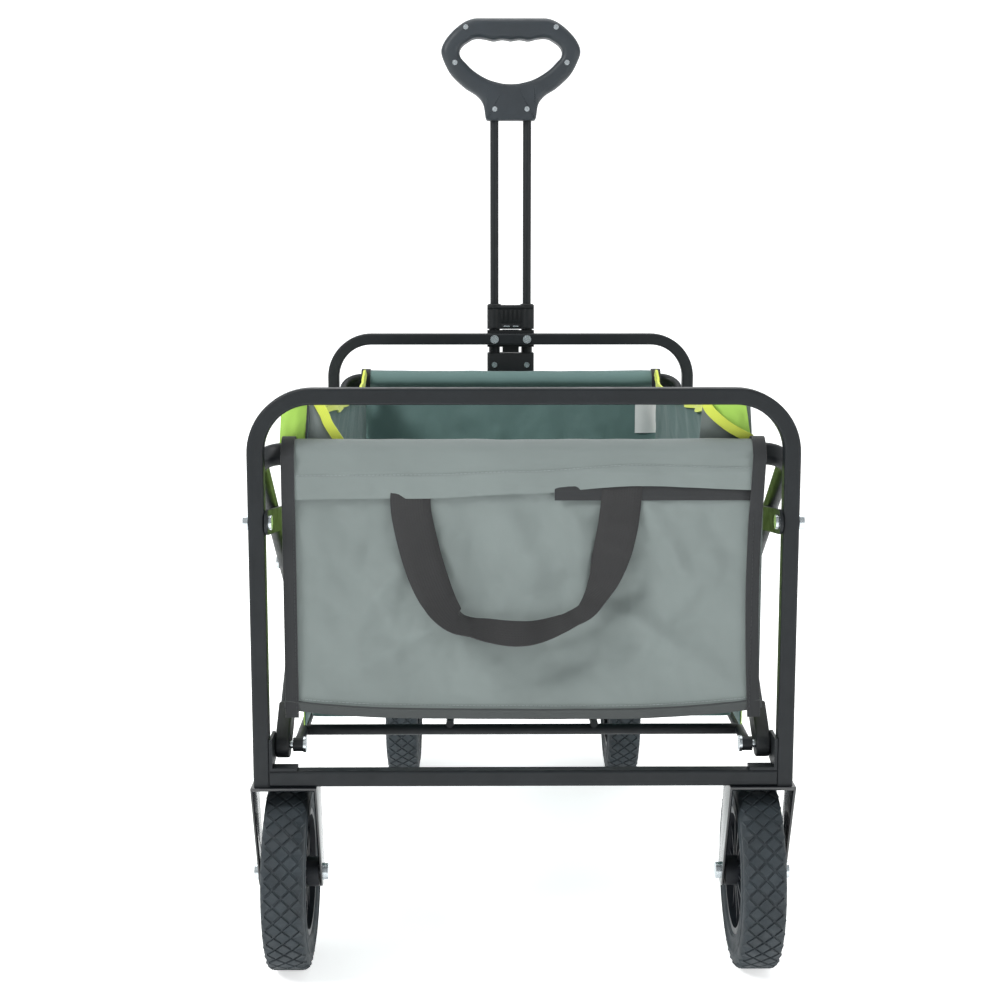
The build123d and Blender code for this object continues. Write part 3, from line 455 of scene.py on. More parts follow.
def tread_slice(half, outer):
    """Five tapered diamond blocks: a row of three, and a row of two half a step on."""
    corners, faces = [], []
    step = math.tau / TREAD_COUNT
    limit = half - 1.6 * MM
    for row, offsets in ((0, (-1, 0, 1)), (0.5, (-0.5, 0.5))):
        for offset in offsets:
            first = len(corners)
            outline = [(-1, 0), (0, -1), (1, 0), (0, 1)]
            for level, size in ((-0.4, 1.0), (0.55, 0.97), (1.0, 0.86)):
                for a, b in outline:
                    across = offset * BLOCK_STEP + a * size * BLOCK_HALF
                    across = max(-limit, min(limit, across))
                    angle = step * row + b * size * BLOCK_HALF / outer
                    radius = crown(across, half, outer - BLOCK_HEIGHT) + level * BLOCK_HEIGHT
                    corners.append((across, radius * math.cos(angle), radius * math.sin(angle)))
            faces.append((first + 3, first + 2, first + 1, first))
            faces.append((first + 8, first + 9, first + 10, first + 11))
            for level in (0, 4):
                for i in range(4):
                    j = (i + 1) % 4
                    a, b = first + level + i, first + level + j
                    faces.append((a, b, b + 4, a + 4))
    return corners, faces


def make_tyre(node, body):
    """A ribbed carcass and its ring of blocks, in place of a plain tyre."""
    low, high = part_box(node)
    centre, half, outer = (low + high) / 2, (high.x - low.x) / 2, (high.z - low.z) / 2
    rim_low, rim_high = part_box(node.replace("tyre", "rim"))
    bore = (rim_high.z - rim_low.z) / 2 + 0.2 * MM
    carcass = spun(node + "_carcass", tyre_profile(half - 0.9 * MM, outer, bore), centre, rubber)
    corners, faces = tread_slice(half, outer)
    tread = outward(mesh_object(node + "_tread", corners, faces, rubber, smooth=False))
    grown(tread, ROUND, Count=TREAD_COUNT, Centre=centre, Material=rubber)
    for piece in (carcass, tread):
        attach(piece, body)
    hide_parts(node)
    return centre, half, len(tread.data.polygons)


WHEELS = [(f"{end}_tyre_{side}", f"{end}_wheel_{side}")
          for end in ("rear", "front") for side in ("left", "right")]
for node, body in WHEELS:
    centre, half, count = make_tyre(node, body)
    print(node, "at", [round(a, 3) for a in centre], count, "tread faces")

# %% [markdown]
# The wheel's centre is a moulded dish. Thin ribs run from the hub to the band on both faces, which
# is how such a wheel is stiffened without much plastic. One rib on each face is a slice, repeated
# twelve times round the hub.

# %% Wheel ribs
RIB_COUNT = 12
RIB_THICK = 2.2 * MM
HUB_REACH = 16 * MM


def rib_slice(band, half):
    """A tapering rib on each face of the web."""
    corners, faces = [], []
    for face in (-1, 1):
        first = len(corners)
        outline = ((HUB_REACH - 3 * MM, 3 * MM), (band, 3 * MM), (band, half - 5 * MM),
                   (HUB_REACH, half * 0.86))
        for side in (-1, 1):
            corners += [(face * x, r, side * RIB_THICK / 2) for r, x in outline]
        a, b = first, first + 4
        faces += [(a, a + 1, a + 2, a + 3), (b + 3, b + 2, b + 1, b)]
        faces += [(a + i, b + i, b + (i + 1) % 4, a + (i + 1) % 4) for i in range(4)]
    return corners, faces


for node, body in WHEELS:
    rim = node.replace("tyre", "rim")
    low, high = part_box(rim)
    band = (high.z - low.z) / 2 - 5 * MM
    corners, faces = rib_slice(band, 19 * MM)
    ribs = outward(mesh_object(rim + "_ribs", corners, faces, wheel_plastic, smooth=False))
    grown(ribs, ROUND, Count=RIB_COUNT, Centre=(low + high) / 2, Material=wheel_plastic)
    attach(ribs, body)
print("ribs on", len(WHEELS), "wheels")

# %% [markdown]
# The forks are pressed from sheet, so every fold is rounded. A bevel on a copy of the rigid part
# gives that round without moving the part's faces. The copy's triangles are first merged back into
# flat faces, because a bevel needs clean edges to follow.

# %% Pressed and moulded parts with rounded edges
def rounded_copy(node, body, radius, material, segments=3, angle=40):
    """A copy of a rigid part with its sharp edges rounded, shown in its place."""
    made = bpy.data.objects.new(node + "_rounded", nodes[node].data.copy())
    bpy.context.scene.collection.objects.link(made)
    shape = bmesh.new()
    shape.from_mesh(made.data)
    bmesh.ops.remove_doubles(shape, verts=shape.verts, dist=2e-6)
    bmesh.ops.dissolve_limit(shape, angle_limit=math.radians(2), verts=shape.verts, edges=shape.edges)
    shape.to_mesh(made.data)
    shape.free()
    made.data.materials.clear()
    made.data.materials.append(material)
    modified(made, ("BEVEL", {"width": radius, "segments": segments, "limit_method": "ANGLE",
                              "angle_limit": math.radians(angle), "harden_normals": False}))
    crisp(made, 30)
    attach(made, body)
    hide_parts(node)
    return made


body_of = {node: body for body, members in frame["record"]["behaviour"]["bodies"].items() for node in members}
for node, radius in (("rear_fork_left", 1.4), ("rear_fork_right", 1.4), ("caster_fork_left", 1.4),
                     ("caster_fork_right", 1.4)):
    rounded_copy(node, body_of[node], radius * MM, enamel)
for node, radius in (("rear_riser_ends", 2.5), ("front_riser_ends", 2.5), ("handle_yoke", 2.0),
                     ("lower_clamp", 1.2)):
    rounded_copy(node, body_of[node], radius * MM, moulded)
# %% [markdown]
# All the cloth on the wagon is made as open grids of points, one function for each sheet's shape,
# and then given its thickness. A cloth simulation could find its own folds, but these panels are
# sewn tight on four sides and their few folds are known, so each is laid as a listed soft ridge and
# a fine crumple is added over it. That is quick, and the same on every run.

# %% Cloth helpers
CLOTH_THICK = 0.9 * MM


def between(value, low, high):
    return max(low, min(high, value))


def eased(share):
    share = between(share, 0.0, 1.0)
    return share * share * (3 - 2 * share)


def through(points, at):
    """A smooth height through (place, height) points, easing from each to the next."""
    for (a, low), (b, high) in zip(points, points[1:]):
        if at <= b:
            return low + (high - low) * eased((at - a) / (b - a))
    return points[-1][1]


def ridges(x, z, creases):
    """Height of soft ridges; each crease is (x, z) to (x, z), a width and a height."""
    total = 0.0
    for x0, z0, x1, z1, width, height in creases:
        run_x, run_z = x1 - x0, z1 - z0
        share = between(((x - x0) * run_x + (z - z0) * run_z) / (run_x ** 2 + run_z ** 2), 0, 1)
        away = math.hypot(x - x0 - share * run_x, z - z0 - share * run_z)
        total += height * math.exp(-((away / width) ** 2))
    return total


def crumple(a, b, seed, size=0.055, height=1.6 * MM):
    """Shallow uneven dents, the same on every run."""
    return height * noise.fractal(Vector((a / size, b / size, seed)), 0.8, 2.1, 4)


def cloth_sheet(name, columns, rows, place, size, material, thick=CLOTH_THICK):
    """A sheet whose point at (s, t), both 0 to 1, is place(s, t); size is its flat (width, length)."""
    corners, uvs, faces = [], [], []
    for j in range(rows + 1):
        for i in range(columns + 1):
            s, t = i / columns, j / rows
            corners.append(place(s, t))
            uvs.append((s * size[0], t * size[1]))
    for j in range(rows):
        for i in range(columns):
            a = j * (columns + 1) + i
            faces.append((a, a + 1, a + columns + 2, a + columns + 1))
    made = mesh_object(name, corners, faces, material, uvs)
    modified(made, ("SOLIDIFY", {"thickness": thick, "offset": 0.0}))
    return crisp(outward(made), 70)


def smooth_line(points, count):
    """count points on a smooth curve through a few chosen ones."""
    fixed = np.array(points, float)
    fixed = np.vstack([2 * fixed[0] - fixed[1], fixed, 2 * fixed[-1] - fixed[-2]])
    line = []
    for at in np.linspace(0, len(points) - 1, count):
        i = min(int(at), len(points) - 2)
        u = at - i
        a, b, c, d = fixed[i:i + 4]
        line.append(0.5 * (2 * b + (c - a) * u + (2 * a - 5 * b + 4 * c - d) * u ** 2
                           + (3 * b - a - 3 * c + d) * u ** 3))
    return np.array(line)


def ribbon(name, path, sides, widths, thick, material, ribs=0):
    """Tape along a path; sides are the directions across it and widths its width at each point."""
    path = np.array(path, float)
    tangents = np.gradient(path, axis=0)
    lengths = np.concatenate([[0], np.cumsum(np.linalg.norm(np.diff(path, axis=0), axis=1))])
    across = [-1, -0.97, -0.5, 0, 0.5, 0.97, 1]
    outline = [(a, 0.5 if abs(a) < 0.98 else 0.0) for a in across]
    outline += [(a, -0.5) for a in reversed(across[1:-1])]
    corners, uvs, faces = [], [], []
    for i, point in enumerate(path):
        side = np.array(sides[i], float)
        side -= tangents[i] * (side @ tangents[i]) / (tangents[i] @ tangents[i])
        side /= np.linalg.norm(side)
        normal = np.cross(side, tangents[i])
        normal /= np.linalg.norm(normal)
        swell = 1 + (0.12 * (i % 2) if ribs else 0)
        for a, up in outline:
            corners.append(point + side * a * widths[i] / 2 + normal * up * thick * swell)
            uvs.append((a * widths[i] / 2, lengths[i]))
    ring = len(outline)
    for i in range(len(path) - 1):
        for j in range(ring):
            k = (j + 1) % ring
            faces.append((i * ring + j, i * ring + k, (i + 1) * ring + k, (i + 1) * ring + j))
    faces.append(tuple(range(ring)))
    faces.append(tuple(range((len(path) - 1) * ring, len(path) * ring)))
    return crisp(outward(mesh_object(name, corners, faces, material, uvs)), 60)


def stitched(name, lines, material, pitch=4 * MM, length=2.9 * MM, radius=0.35 * MM):
    """Stitches along one or more lines of points."""
    corners, edges = [], []
    for line in lines:
        edges += [(len(corners) + i, len(corners) + i + 1) for i in range(len(line) - 1)]
        corners += [tuple(p) for p in line]
    mesh = bpy.data.meshes.new(name)
    mesh.from_pydata(corners, edges, [])
    made = bpy.data.objects.new(name, mesh)
    bpy.context.scene.collection.objects.link(made)
    return grown(made, STITCHES, Pitch=pitch, Length=length, Radius=radius, Material=material)


def belongs(body, slot, *made):
    for piece in made:
        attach(piece, body)


# %% [markdown]
# Each end of the bag hangs from a tube in the scissor frame. Its top is a sleeve: the cloth comes up
# the outside, goes over the tube and is sewn to itself on the inside. Below the sleeve's seam hang a
# loose flap, the outer panel, and a teal lining. Black tape binds the side edges and grey tape the
# bottom. One function makes both ends; the rear end's flap stands off a pocket.

# %% End panels
SEAM_DROP = 17 * MM  # sleeve seam below the tube's centre
WALL_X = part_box("side_walls")[1].x - 1.5 * MM  # middle of the side cloth
TAPE_WIDE = 13 * MM
LINING_GAP = 3.4 * MM  # lining behind the outer panel
TURN_IN = 0.08  # share of the lining that turns in at its foot
FLAP_OFF = 3.4 * MM  # the rear flap stands this far off the pocket
FLAP_HEIGHT = 0.49  # usual height of the flap's lower edge
REAR_CREASES = (
    (-0.215, 0.292, -0.075, 0.372, 0.013, 0.0045), (-0.052, 0.452, -0.034, 0.392, 0.014, -0.0032),
    (0.050, 0.470, 0.060, 0.385, 0.011, 0.0038), (0.122, 0.480, 0.156, 0.415, 0.010, 0.0032),
    (0.215, 0.294, 0.105, 0.372, 0.014, 0.0045), (0.200, 0.405, 0.135, 0.335, 0.012, -0.003),
    (-0.205, 0.365, -0.145, 0.310, 0.013, 0.003), (-0.195, 0.480, -0.150, 0.440, 0.012, -0.0026),
    (0.000, 0.300, 0.060, 0.325, 0.015, -0.003), (-0.120, 0.420, -0.165, 0.360, 0.014, 0.003),
    (-0.020, 0.470, 0.010, 0.425, 0.016, 0.0026), (0.180, 0.470, 0.205, 0.430, 0.010, -0.0026),
)
FRONT_CREASES = (
    (-0.190, 0.300, -0.090, 0.380, 0.014, 0.004), (0.190, 0.300, 0.090, 0.380, 0.014, 0.004),
    (-0.120, 0.520, -0.060, 0.440, 0.018, 0.003), (0.100, 0.520, 0.130, 0.430, 0.014, -0.003),
    (0.020, 0.500, 0.000, 0.420, 0.020, 0.0026), (-0.150, 0.470, -0.180, 0.410, 0.012, -0.003),
)
FLAP_EDGE = ((-0.232, 0.489), (-0.1, 0.490), (0.0, 0.494), (0.11, 0.502), (0.232, 0.498))


def end_of_bag(node, end, creases, pocket):
    """Every cloth piece of one end; end is -1 at the rear and +1 at the front."""
    body = body_of[node]
    low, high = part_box(node)
    radius, half = (high.y - low.y) / 2, high.x
    tube_y, tube_z, bottom = (high.y + low.y) / 2, high.z - radius, low.z
    face = tube_y + end * radius
    seam = tube_z - SEAM_DROP

    def skin(x, z):
        """The outer panel's surface at a place, drawn in and creased."""
        share_x, share_z = x / half, (z - bottom) / (seam - bottom)
        hold = (1 - share_x ** 4) * math.sin(math.pi * between(share_z, 0.02, 0.98)) ** 0.5
        belly = -8 * MM * (1 - share_x ** 4) * math.sin(math.pi * between(share_z, 0, 1)) ** 0.6
        shape = belly + hold * (1.9 * ridges(x, z, creases) + crumple(x, z, 3.0 + end, 0.11, 9.0 * MM))
        return face + end * shape

    def foot(x):
        return bottom + 9 * MM * (x / half) ** 4 - 1.5 * MM * (1 - (x / half) ** 2)

    def pocket_top(x):
        edge = ((-half, seam), (0.015, seam), (0.06, 0.4925), (half, 0.4905))
        return through(edge, x) if pocket else seam

    def outer(s, t):
        x = (2 * s - 1) * half
        z = foot(x) + t * (pocket_top(x) - foot(x))
        return x, skin(x, z), z

    def inner(s, t):
        """The lining; its lowest part turns in towards the floor boards."""
        x = (2 * s - 1) * min(half - 2 * MM, WALL_X)
        if t < TURN_IN:
            way = 1 - t / TURN_IN
            return x, face - end * (12.6 * MM + 24 * MM * way), foot(x) - 1 * MM - 7 * MM * way
        z = foot(x) + (t - TURN_IN) / (1 - TURN_IN) * (seam - foot(x))
        return x, skin(x, z) - end * (LINING_GAP + 9 * MM * (1 - eased((t - TURN_IN) / 0.1))), z

    def flap_low(x):
        return through(FLAP_EDGE, x) if pocket else seam

    def sleeve(s, t):
        """Up the outside from the flap's edge, over the tube, and down inside to the seam."""
        x = (2 * s - 1) * half
        low_edge = flap_low(x)
        rise, arc, tail = tube_z - low_edge, math.pi * radius, SEAM_DROP
        way = t * (rise + arc + tail)
        dent = 1 + 0.05 * noise.noise(Vector((x * 30, t * 3, 7)))
        if way < rise:
            hang = rise - way
            off = FLAP_OFF * min(1, hang / 0.02) if pocket else 0
            off += crumple(x, way, 9, 0.05, 1.1 * MM) * min(1, hang / 0.01)
            stay = skin(x, tube_z - hang) if hang > SEAM_DROP else face
            bend = eased(hang / SEAM_DROP)
            return x, face * (1 - bend) + stay * bend + end * (1.6 * MM + off), tube_z - hang
        if way < rise + arc:
            turn = (way - rise) / radius
            reach = (radius + 1.2 * MM) * dent
            sag = 0.8 * MM * (1 - (x / half) ** 2)
            return x, tube_y + end * reach * math.cos(turn), tube_z + (reach - sag) * math.sin(turn)
        drop = way - rise - arc
        return x, tube_y - end * (radius + 1.2 * MM - 2 * radius * eased(drop / tail) * 0.86), tube_z - drop

    width = 2 * half
    panel = cloth_sheet(node + "_cloth", 150, 80, outer, (width, seam - bottom), grey_cloth)
    lining = cloth_sheet(node + "_lining", 90, 48, inner, (width, seam - bottom), teal_lining)
    outside = tube_z - FLAP_HEIGHT if pocket else SEAM_DROP
    sleeve_length = outside + math.pi * radius + SEAM_DROP
    hem_cloth = grey_cloth if pocket else teal_lining
    hem = cloth_sheet(node + "_sleeve", 150, 44, sleeve, (width, sleeve_length), hem_cloth)
    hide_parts(node)

    edge_x = half - TAPE_WIDE / 2 + 1.5 * MM
    tapes = []
    around = radius + 3.2 * MM
    for side in (-1, 1):
        up = []
        for t in np.linspace(0, 1, 40):
            at = bottom + t * (tube_z - bottom)
            stand = (2.6 + 3.6 * pocket * eased((at - 0.47) / 0.02)) * MM
            narrow = 4 * MM * math.sin(math.pi * t) * (side > 0)
            up.append((side * (edge_x - narrow), skin(side * half, at) + end * stand,
                       bottom - 3 * MM + t * (tube_z - bottom + 3 * MM)))
        over = [(side * edge_x, tube_y + end * around * math.cos(a), tube_z + around * math.sin(a))
                for a in np.linspace(0, math.pi, 16)[1:]]
        down = [(side * edge_x, tube_y - end * (radius + 3.0 * MM), tube_z - d) for d in (6 * MM, 12 * MM)]
        path = up + over + down
        word = "left" if side < 0 else "right"
        tapes.append(ribbon(f"{node}_binding_{word}", path, [(1, 0, 0)] * len(path),
                            [TAPE_WIDE] * len(path), 1.5 * MM, black_tape))
    along = [(x, skin(x, foot(x)) + end * 0.6 * MM, foot(x) + 1 * MM)
             for x in np.linspace(-half - 3 * MM, half + 3 * MM, 90)]
    tapes.append(ribbon(node + "_bottom_binding", along, [(0, 0.25 * end, 1)] * len(along),
                        [10 * MM] * len(along), 3.6 * MM, grey_tape))
    stitch_end = half - 15 * MM
    rows = [[(x, skin(x, foot(x) + 9 * MM) + end * 1.5 * MM, foot(x) + 9 * MM)
             for x in np.linspace(-stitch_end, stitch_end, 90)]]
    if pocket:
        rows.append([sleeve_point(sleeve, x, half, end) for x in np.linspace(-stitch_end, stitch_end, 120)])
    seams = stitched(node + "_stitches", rows, thread_grey)
    edge_rows = [[(side * (half - TAPE_WIDE + 3.5 * MM), skin(side * half, z) + end * 3.5 * MM, z)
                  for z in np.linspace(bottom + 8 * MM, seam - 12 * MM, 60)] for side in (-1, 1)]
    tape_seams = stitched(node + "_binding_stitches", edge_rows, thread_black)
    belongs(body, "body_grey", panel, hem, seams)
    belongs(body, "lining_teal", lining)
    belongs(body, "webbing_black", tape_seams, *tapes)
    return skin, half, seam, face, (panel, lining, hem, *tapes, seams, tape_seams)


def sleeve_point(sleeve, x, half, end):
    """A point just outside the sleeve's seam, for its row of stitches."""
    px, py, pz = sleeve((x / half + 1) / 2, 0.235)
    return px, py + end * 0.9 * MM, pz


rear_skin, rear_half, rear_seam, rear_face, rear_cloth = end_of_bag("rear_panel", -1, REAR_CREASES, True)
front_skin, _, _, _, front_cloth = end_of_bag("front_panel", 1, FRONT_CREASES, False)
print("end panels", len(rear_cloth), "and", len(front_cloth), "pieces")

# %% [markdown]
# The rear pocket's mouth hangs a little open under the right half of the flap. A black strip just
# behind the flap's edge is painted shade there: it stands for the shadow inside the open mouth.

# %% Pocket mouth painted shade
mouth_shade_x = np.linspace(0.03, rear_half - 5 * MM, 60)
# Painted shade: a black strip that stands for the shadow inside the open pocket mouth.
mouth_shade = ribbon("pocket_mouth", [(x, rear_face - 0.4 * MM, 0.4975) for x in mouth_shade_x], [(0, 0, 1)] * 60,
               [20 * MM] * 60, 0.8 * MM, black_tape)
belongs("rear_hem", "webbing_black", mouth_shade)

# %% [markdown]
# The carry strap is one length of webbing, sewn under the flap at both ends. It hangs down the left,
# folds nearly shut where it turns, runs flat along the bottom and folds again on the right. A strap
# like this is a ribbon: a path, a direction across it at each point, and a width. Turning that
# direction towards the viewer's line narrows it, as a real twist does.

# %% Carry strap
STRAP_ROUTE = (  # place across, height, stand-off from the panel, width, turn about its length
    (-0.1095, 0.519, 0.000, 39, 0), (-0.1095, 0.498, 0.001, 39, 0), (-0.1085, 0.474, 0.004, 39, 2),
    (-0.1010, 0.440, 0.009, 39, 6), (-0.0900, 0.408, 0.013, 37, 12), (-0.0760, 0.383, 0.017, 32, 28),
    (-0.0570, 0.3685, 0.020, 24, 52), (-0.0340, 0.3625, 0.021, 26, 40), (-0.0060, 0.3600, 0.022, 27, 36),
    (0.0220, 0.3630, 0.022, 24, 42), (0.0480, 0.3735, 0.020, 21, 54), (0.0650, 0.3860, 0.017, 24, 46),
    (0.0775, 0.4090, 0.013, 31, 26), (0.0850, 0.4330, 0.009, 37, 10), (0.0915, 0.4640, 0.005, 39, 3),
    (0.0952, 0.4960, 0.001, 39, 0), (0.0958, 0.519, 0.000, 39, 0),
)
STRAP_POINTS = 150
route = smooth_line(STRAP_ROUTE, STRAP_POINTS)
strap_path = [(x, rear_skin(x, min(z, rear_seam)) - 1.9 * MM - off * (z < rear_seam - 0.012), z)
              for x, z, off, _, _ in route]
strap_sides = []
for i in range(STRAP_POINTS):
    before, after = np.array(strap_path[max(i - 1, 0)]), np.array(strap_path[min(i + 1, STRAP_POINTS - 1)])
    tangent = (after - before) / np.linalg.norm(after - before)
    facing = np.array((0, -1, 0)) - tangent * (-tangent[1])
    facing /= np.linalg.norm(facing)
    flat = np.cross(tangent, facing)
    turn = math.radians(route[i][4])
    strap_sides.append(flat * math.cos(turn) + facing * math.sin(turn))
strap_widths = [wide * MM for wide in route[:, 3]]
strap = ribbon("carry_strap_webbing", strap_path, strap_sides, strap_widths, 1.7 * MM, webbing, ribs=1)
belongs("rear_hem", "webbing_black", strap)
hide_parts("carry_strap")

# %% [markdown]
# The bag's sides are two layers: a teal lining inside and thin lime cloth outside. They hang from
# the ends of the two sleeves, so their yellow-bound top edge dips between them, and it leans in where
# the slack gathers. When the wagon folds they gather towards the rear.

# %% Side walls
WALL_DIP = ((-0.402, 0.583), (-0.3, 0.567), (-0.15, 0.552), (0.0, 0.543), (0.16, 0.532), (0.3, 0.524),
            (0.36, 0.530), (0.402, 0.546))
WALL_LEAN = ((-0.402, 0.006), (-0.25, 0.020), (-0.05, 0.010), (0.25, 0.006), (0.402, 0.006))
wall_low, wall_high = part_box("side_walls")
wall_pieces = []


def wall_point(side, y, t, out):
    """A point t of the way up the wall at y; out pushes it outwards."""
    top = through(WALL_DIP, y)
    z = wall_low.z + t * (top - wall_low.z)
    lean = through(WALL_LEAN, y) * t ** 3 + 3 * MM * eased((y - 0.3) / 0.1)
    slack = 1 - (y / 0.42) ** 2
    belly = 6 * MM * math.sin(math.pi * t) * slack
    drape = 3.2 * MM * math.sin(y * 46 + 5 * t + side) * t * slack
    rough = crumple(y, z, 20 + side, 0.07, 2.2 * MM) * min(1, 5 * t)
    reach = 1 + 0.044 * (1 - eased((z - 0.462) / 0.045))
    return side * (WALL_X - lean + belly + drape + rough + out), y * reach, z


for side, word in ((-1, "left"), (1, "right")):
    size = (wall_high.y - wall_low.y, 0.235)
    lining = cloth_sheet(f"side_lining_{word}", 170, 44, lambda s, t: wall_point(
        side, wall_low.y + s * size[0], t, -0.9 * MM), size, teal_lining)
    shell = cloth_sheet(f"side_cloth_{word}", 170, 44, lambda s, t: wall_point(
        side, wall_low.y + s * size[0], t, 0.9 * MM), size, lime_cloth)
    edge = [wall_point(side, y, 1.0, 0) for y in np.linspace(wall_low.y, wall_high.y, 150)]
    tape = ribbon(f"side_binding_{word}", [(x, y, z - 2 * MM) for x, y, z in edge],
                  [(0.2 * side, 0, 1)] * 150, [9 * MM] * 150, 3.2 * MM, yellow_tape)
    belongs("rear_hem", "lining_teal", lining, shell, tape)
    if side < 0:
        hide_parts("side_walls")
    wall_pieces += [lining, shell, tape]
print("side walls", len(wall_pieces), "pieces")

# %% [markdown]
# At the two rear corners a gusset of lime cloth joins the wall to the sleeve and stands up behind
# the hoop's top bar. The left one is upright, with a grey strip beside its seam. The right one has
# flopped over, so its yellow-bound edge runs down across the lining.

# %% Corner gussets
def patch(name, corners, material, bow):
    """A four-cornered piece of cloth that bows outwards in its middle."""
    a, b, c, d = (np.array(p) for p in corners)

    def place(s, t):
        flat = (a * (1 - s) + b * s) * (1 - t) + (d * (1 - s) + c * s) * t
        flat[1] -= bow * math.sin(math.pi * s) + crumple(s * 0.06, t * 0.06, 31, 0.03, 1.5 * MM)
        return tuple(flat)

    size = [float(np.linalg.norm(p) + np.linalg.norm(q)) / 2 for p, q in ((b - a, c - d), (d - a, c - b))]
    made = cloth_sheet(name, 16, 18, place, size, material)
    belongs("rear_hem", "lining_teal", made)


def edging(name, points, width, material, side=(0, 0, 1), thick=2.4 * MM):
    """A narrow tape on a smooth line through points; side is the direction across it."""
    line = smooth_line(points, 24)
    made = ribbon(name, line, [side] * 24, [width] * 24, thick, material)
    belongs("rear_hem", "lining_teal", made)


patch("corner_gusset_left", ((-0.2385, -0.404, 0.530), (-0.213, -0.404, 0.530), (-0.2095, -0.402, 0.583),
                             (-0.235, -0.402, 0.583)), lime_cloth, 5 * MM)
patch("corner_facing_left", ((-0.2125, -0.400, 0.530), (-0.180, -0.396, 0.530), (-0.205, -0.396, 0.583),
                             (-0.2095, -0.400, 0.583)), grey_cloth, 2 * MM)
edging("corner_seam_left", ((-0.2128, -0.4055, 0.532), (-0.2112, -0.4045, 0.556),
                            (-0.2092, -0.4035, 0.583)), 1.6 * MM, thread_black, (1, 0, 0), 1.2 * MM)
edging("corner_binding_left", ((-0.2030, -0.3985, 0.584), (-0.1945, -0.3985, 0.569),
                               (-0.1900, -0.3985, 0.558), (-0.1760, -0.3985, 0.536)),
       9.5 * MM, yellow_tape, (1, 0, 0.4))
patch("corner_gusset_right", ((0.2085, -0.404, 0.546), (0.2225, -0.404, 0.546), (0.2165, -0.402, 0.584),
                              (0.178, -0.402, 0.584)), lime_cloth, 2 * MM)
patch("corner_facing_right", ((0.172, -0.398, 0.530), (0.226, -0.398, 0.530), (0.222, -0.398, 0.583),
                              (0.176, -0.398, 0.583)), grey_cloth, 1 * MM)
edging("corner_binding_right", ((0.1765, -0.4065, 0.584), (0.1825, -0.4065, 0.572), (0.200, -0.4065, 0.557),
                                (0.2225, -0.4065, 0.5445)), 9.5 * MM, yellow_tape, (0.45, 0, 1))
print("corner gussets ready")

# %% [markdown]
# The floor is three padded boards in teal cloth that lie on the folding floor frame. Each is a soft
# slab with a rolled edge. Cloth wrapped round thin foam puffs a little between its edges. A pressure
# simulation could give that, but none is run here: a formula thickens each slab from its edges in.

# %% Floor mats
MAT_SHY = 26 * MM  # the boards stop short of the end panels, where the lining turns in to meet them


def floor_mat(node, body):
    """A thin pad with soft edges, a little crowned, in place of a plain slab."""
    low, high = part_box(node)
    if node == "rear_mat":
        low.y += MAT_SHY
    if node == "front_mat":
        high.y -= MAT_SHY
    low.x, high.x = low.x - 2 * MM, high.x + 2 * MM
    centre, size = (low + high) / 2, high - low
    columns, rows = 48, max(12, int(size.y / 0.012))
    lift, corners, faces, uvs = size.z / 2, [], [], []

    def point(s, t, top):
        x, y = 2 * s - 1, 2 * t - 1
        edge = min(1 - abs(x), (1 - abs(y)) * size.y / size.x, 0.06) / 0.06
        puff = math.sqrt(max(0.0, 1 - (1 - edge) ** 2))
        quilt = crumple(x * size.x, y * size.y, 40, 0.09, 0.9 * MM) * edge
        z = centre.z + (lift * (0.35 + 0.65 * puff) + (quilt if top else 0)) * (1 if top else -1)
        return centre.x + x * size.x / 2, centre.y + y * size.y / 2, z

    for top in (True, False):
        for j in range(rows + 1):
            for i in range(columns + 1):
                corners.append(point(i / columns, j / rows, top))
                uvs.append((i / columns * size.x, j / rows * size.y))
    block = (columns + 1) * (rows + 1)
    for j in range(rows):
        for i in range(columns):
            a = j * (columns + 1) + i
            faces.append((a, a + 1, a + columns + 2, a + columns + 1))
            faces.append((block + a + columns + 1, block + a + columns + 2, block + a + 1, block + a))
    rim = list(range(columns + 1))
    rim += [(j + 1) * (columns + 1) - 1 for j in range(1, rows + 1)]
    rim += [block - 1 - i for i in range(1, columns + 1)]
    rim += [(rows - j) * (columns + 1) for j in range(1, rows)]
    for a, b in zip(rim, rim[1:] + rim[:1]):
        faces.append((a, block + a, block + b, b))
    made = outward(mesh_object(node + "_pad", corners, faces, teal_lining, uvs))
    modified(made, ("SUBSURF", {"levels": 1, "render_levels": 1}))
    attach(made, body)
    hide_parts(node)
    return made


mats = [floor_mat(node, body_of[node]) for node in ("rear_mat", "front_mat", "mat_middle")]
print("mats", [len(m.data.polygons) for m in mats])

# %% [markdown]
# A small white label is sewn into the lining of the front panel. It stays blank.

# %% Label
def label_point(s, t):
    x, z = 0.180 + 0.040 * s, 0.500 - 0.045 * t
    return x, front_skin(x, z) - 5.4 * MM - 1.5 * MM * math.sin(6 * s), z


label = cloth_sheet("care_label", 16, 16, label_point, (0.040, 0.045), label_white, 0.5 * MM)
belongs("front_hem", "body_grey", label)

# %% [markdown]
# The grip is two moulded shells screwed together: a rounded D on a short neck, with three finger
# bumps under its top edge. An outline and a hole joined point for point give a ring that can be
# rounded evenly along both. A bevel on a cut-out slab would fight with the tight bumps; here the
# rounding is part of the section, so it stays smooth.

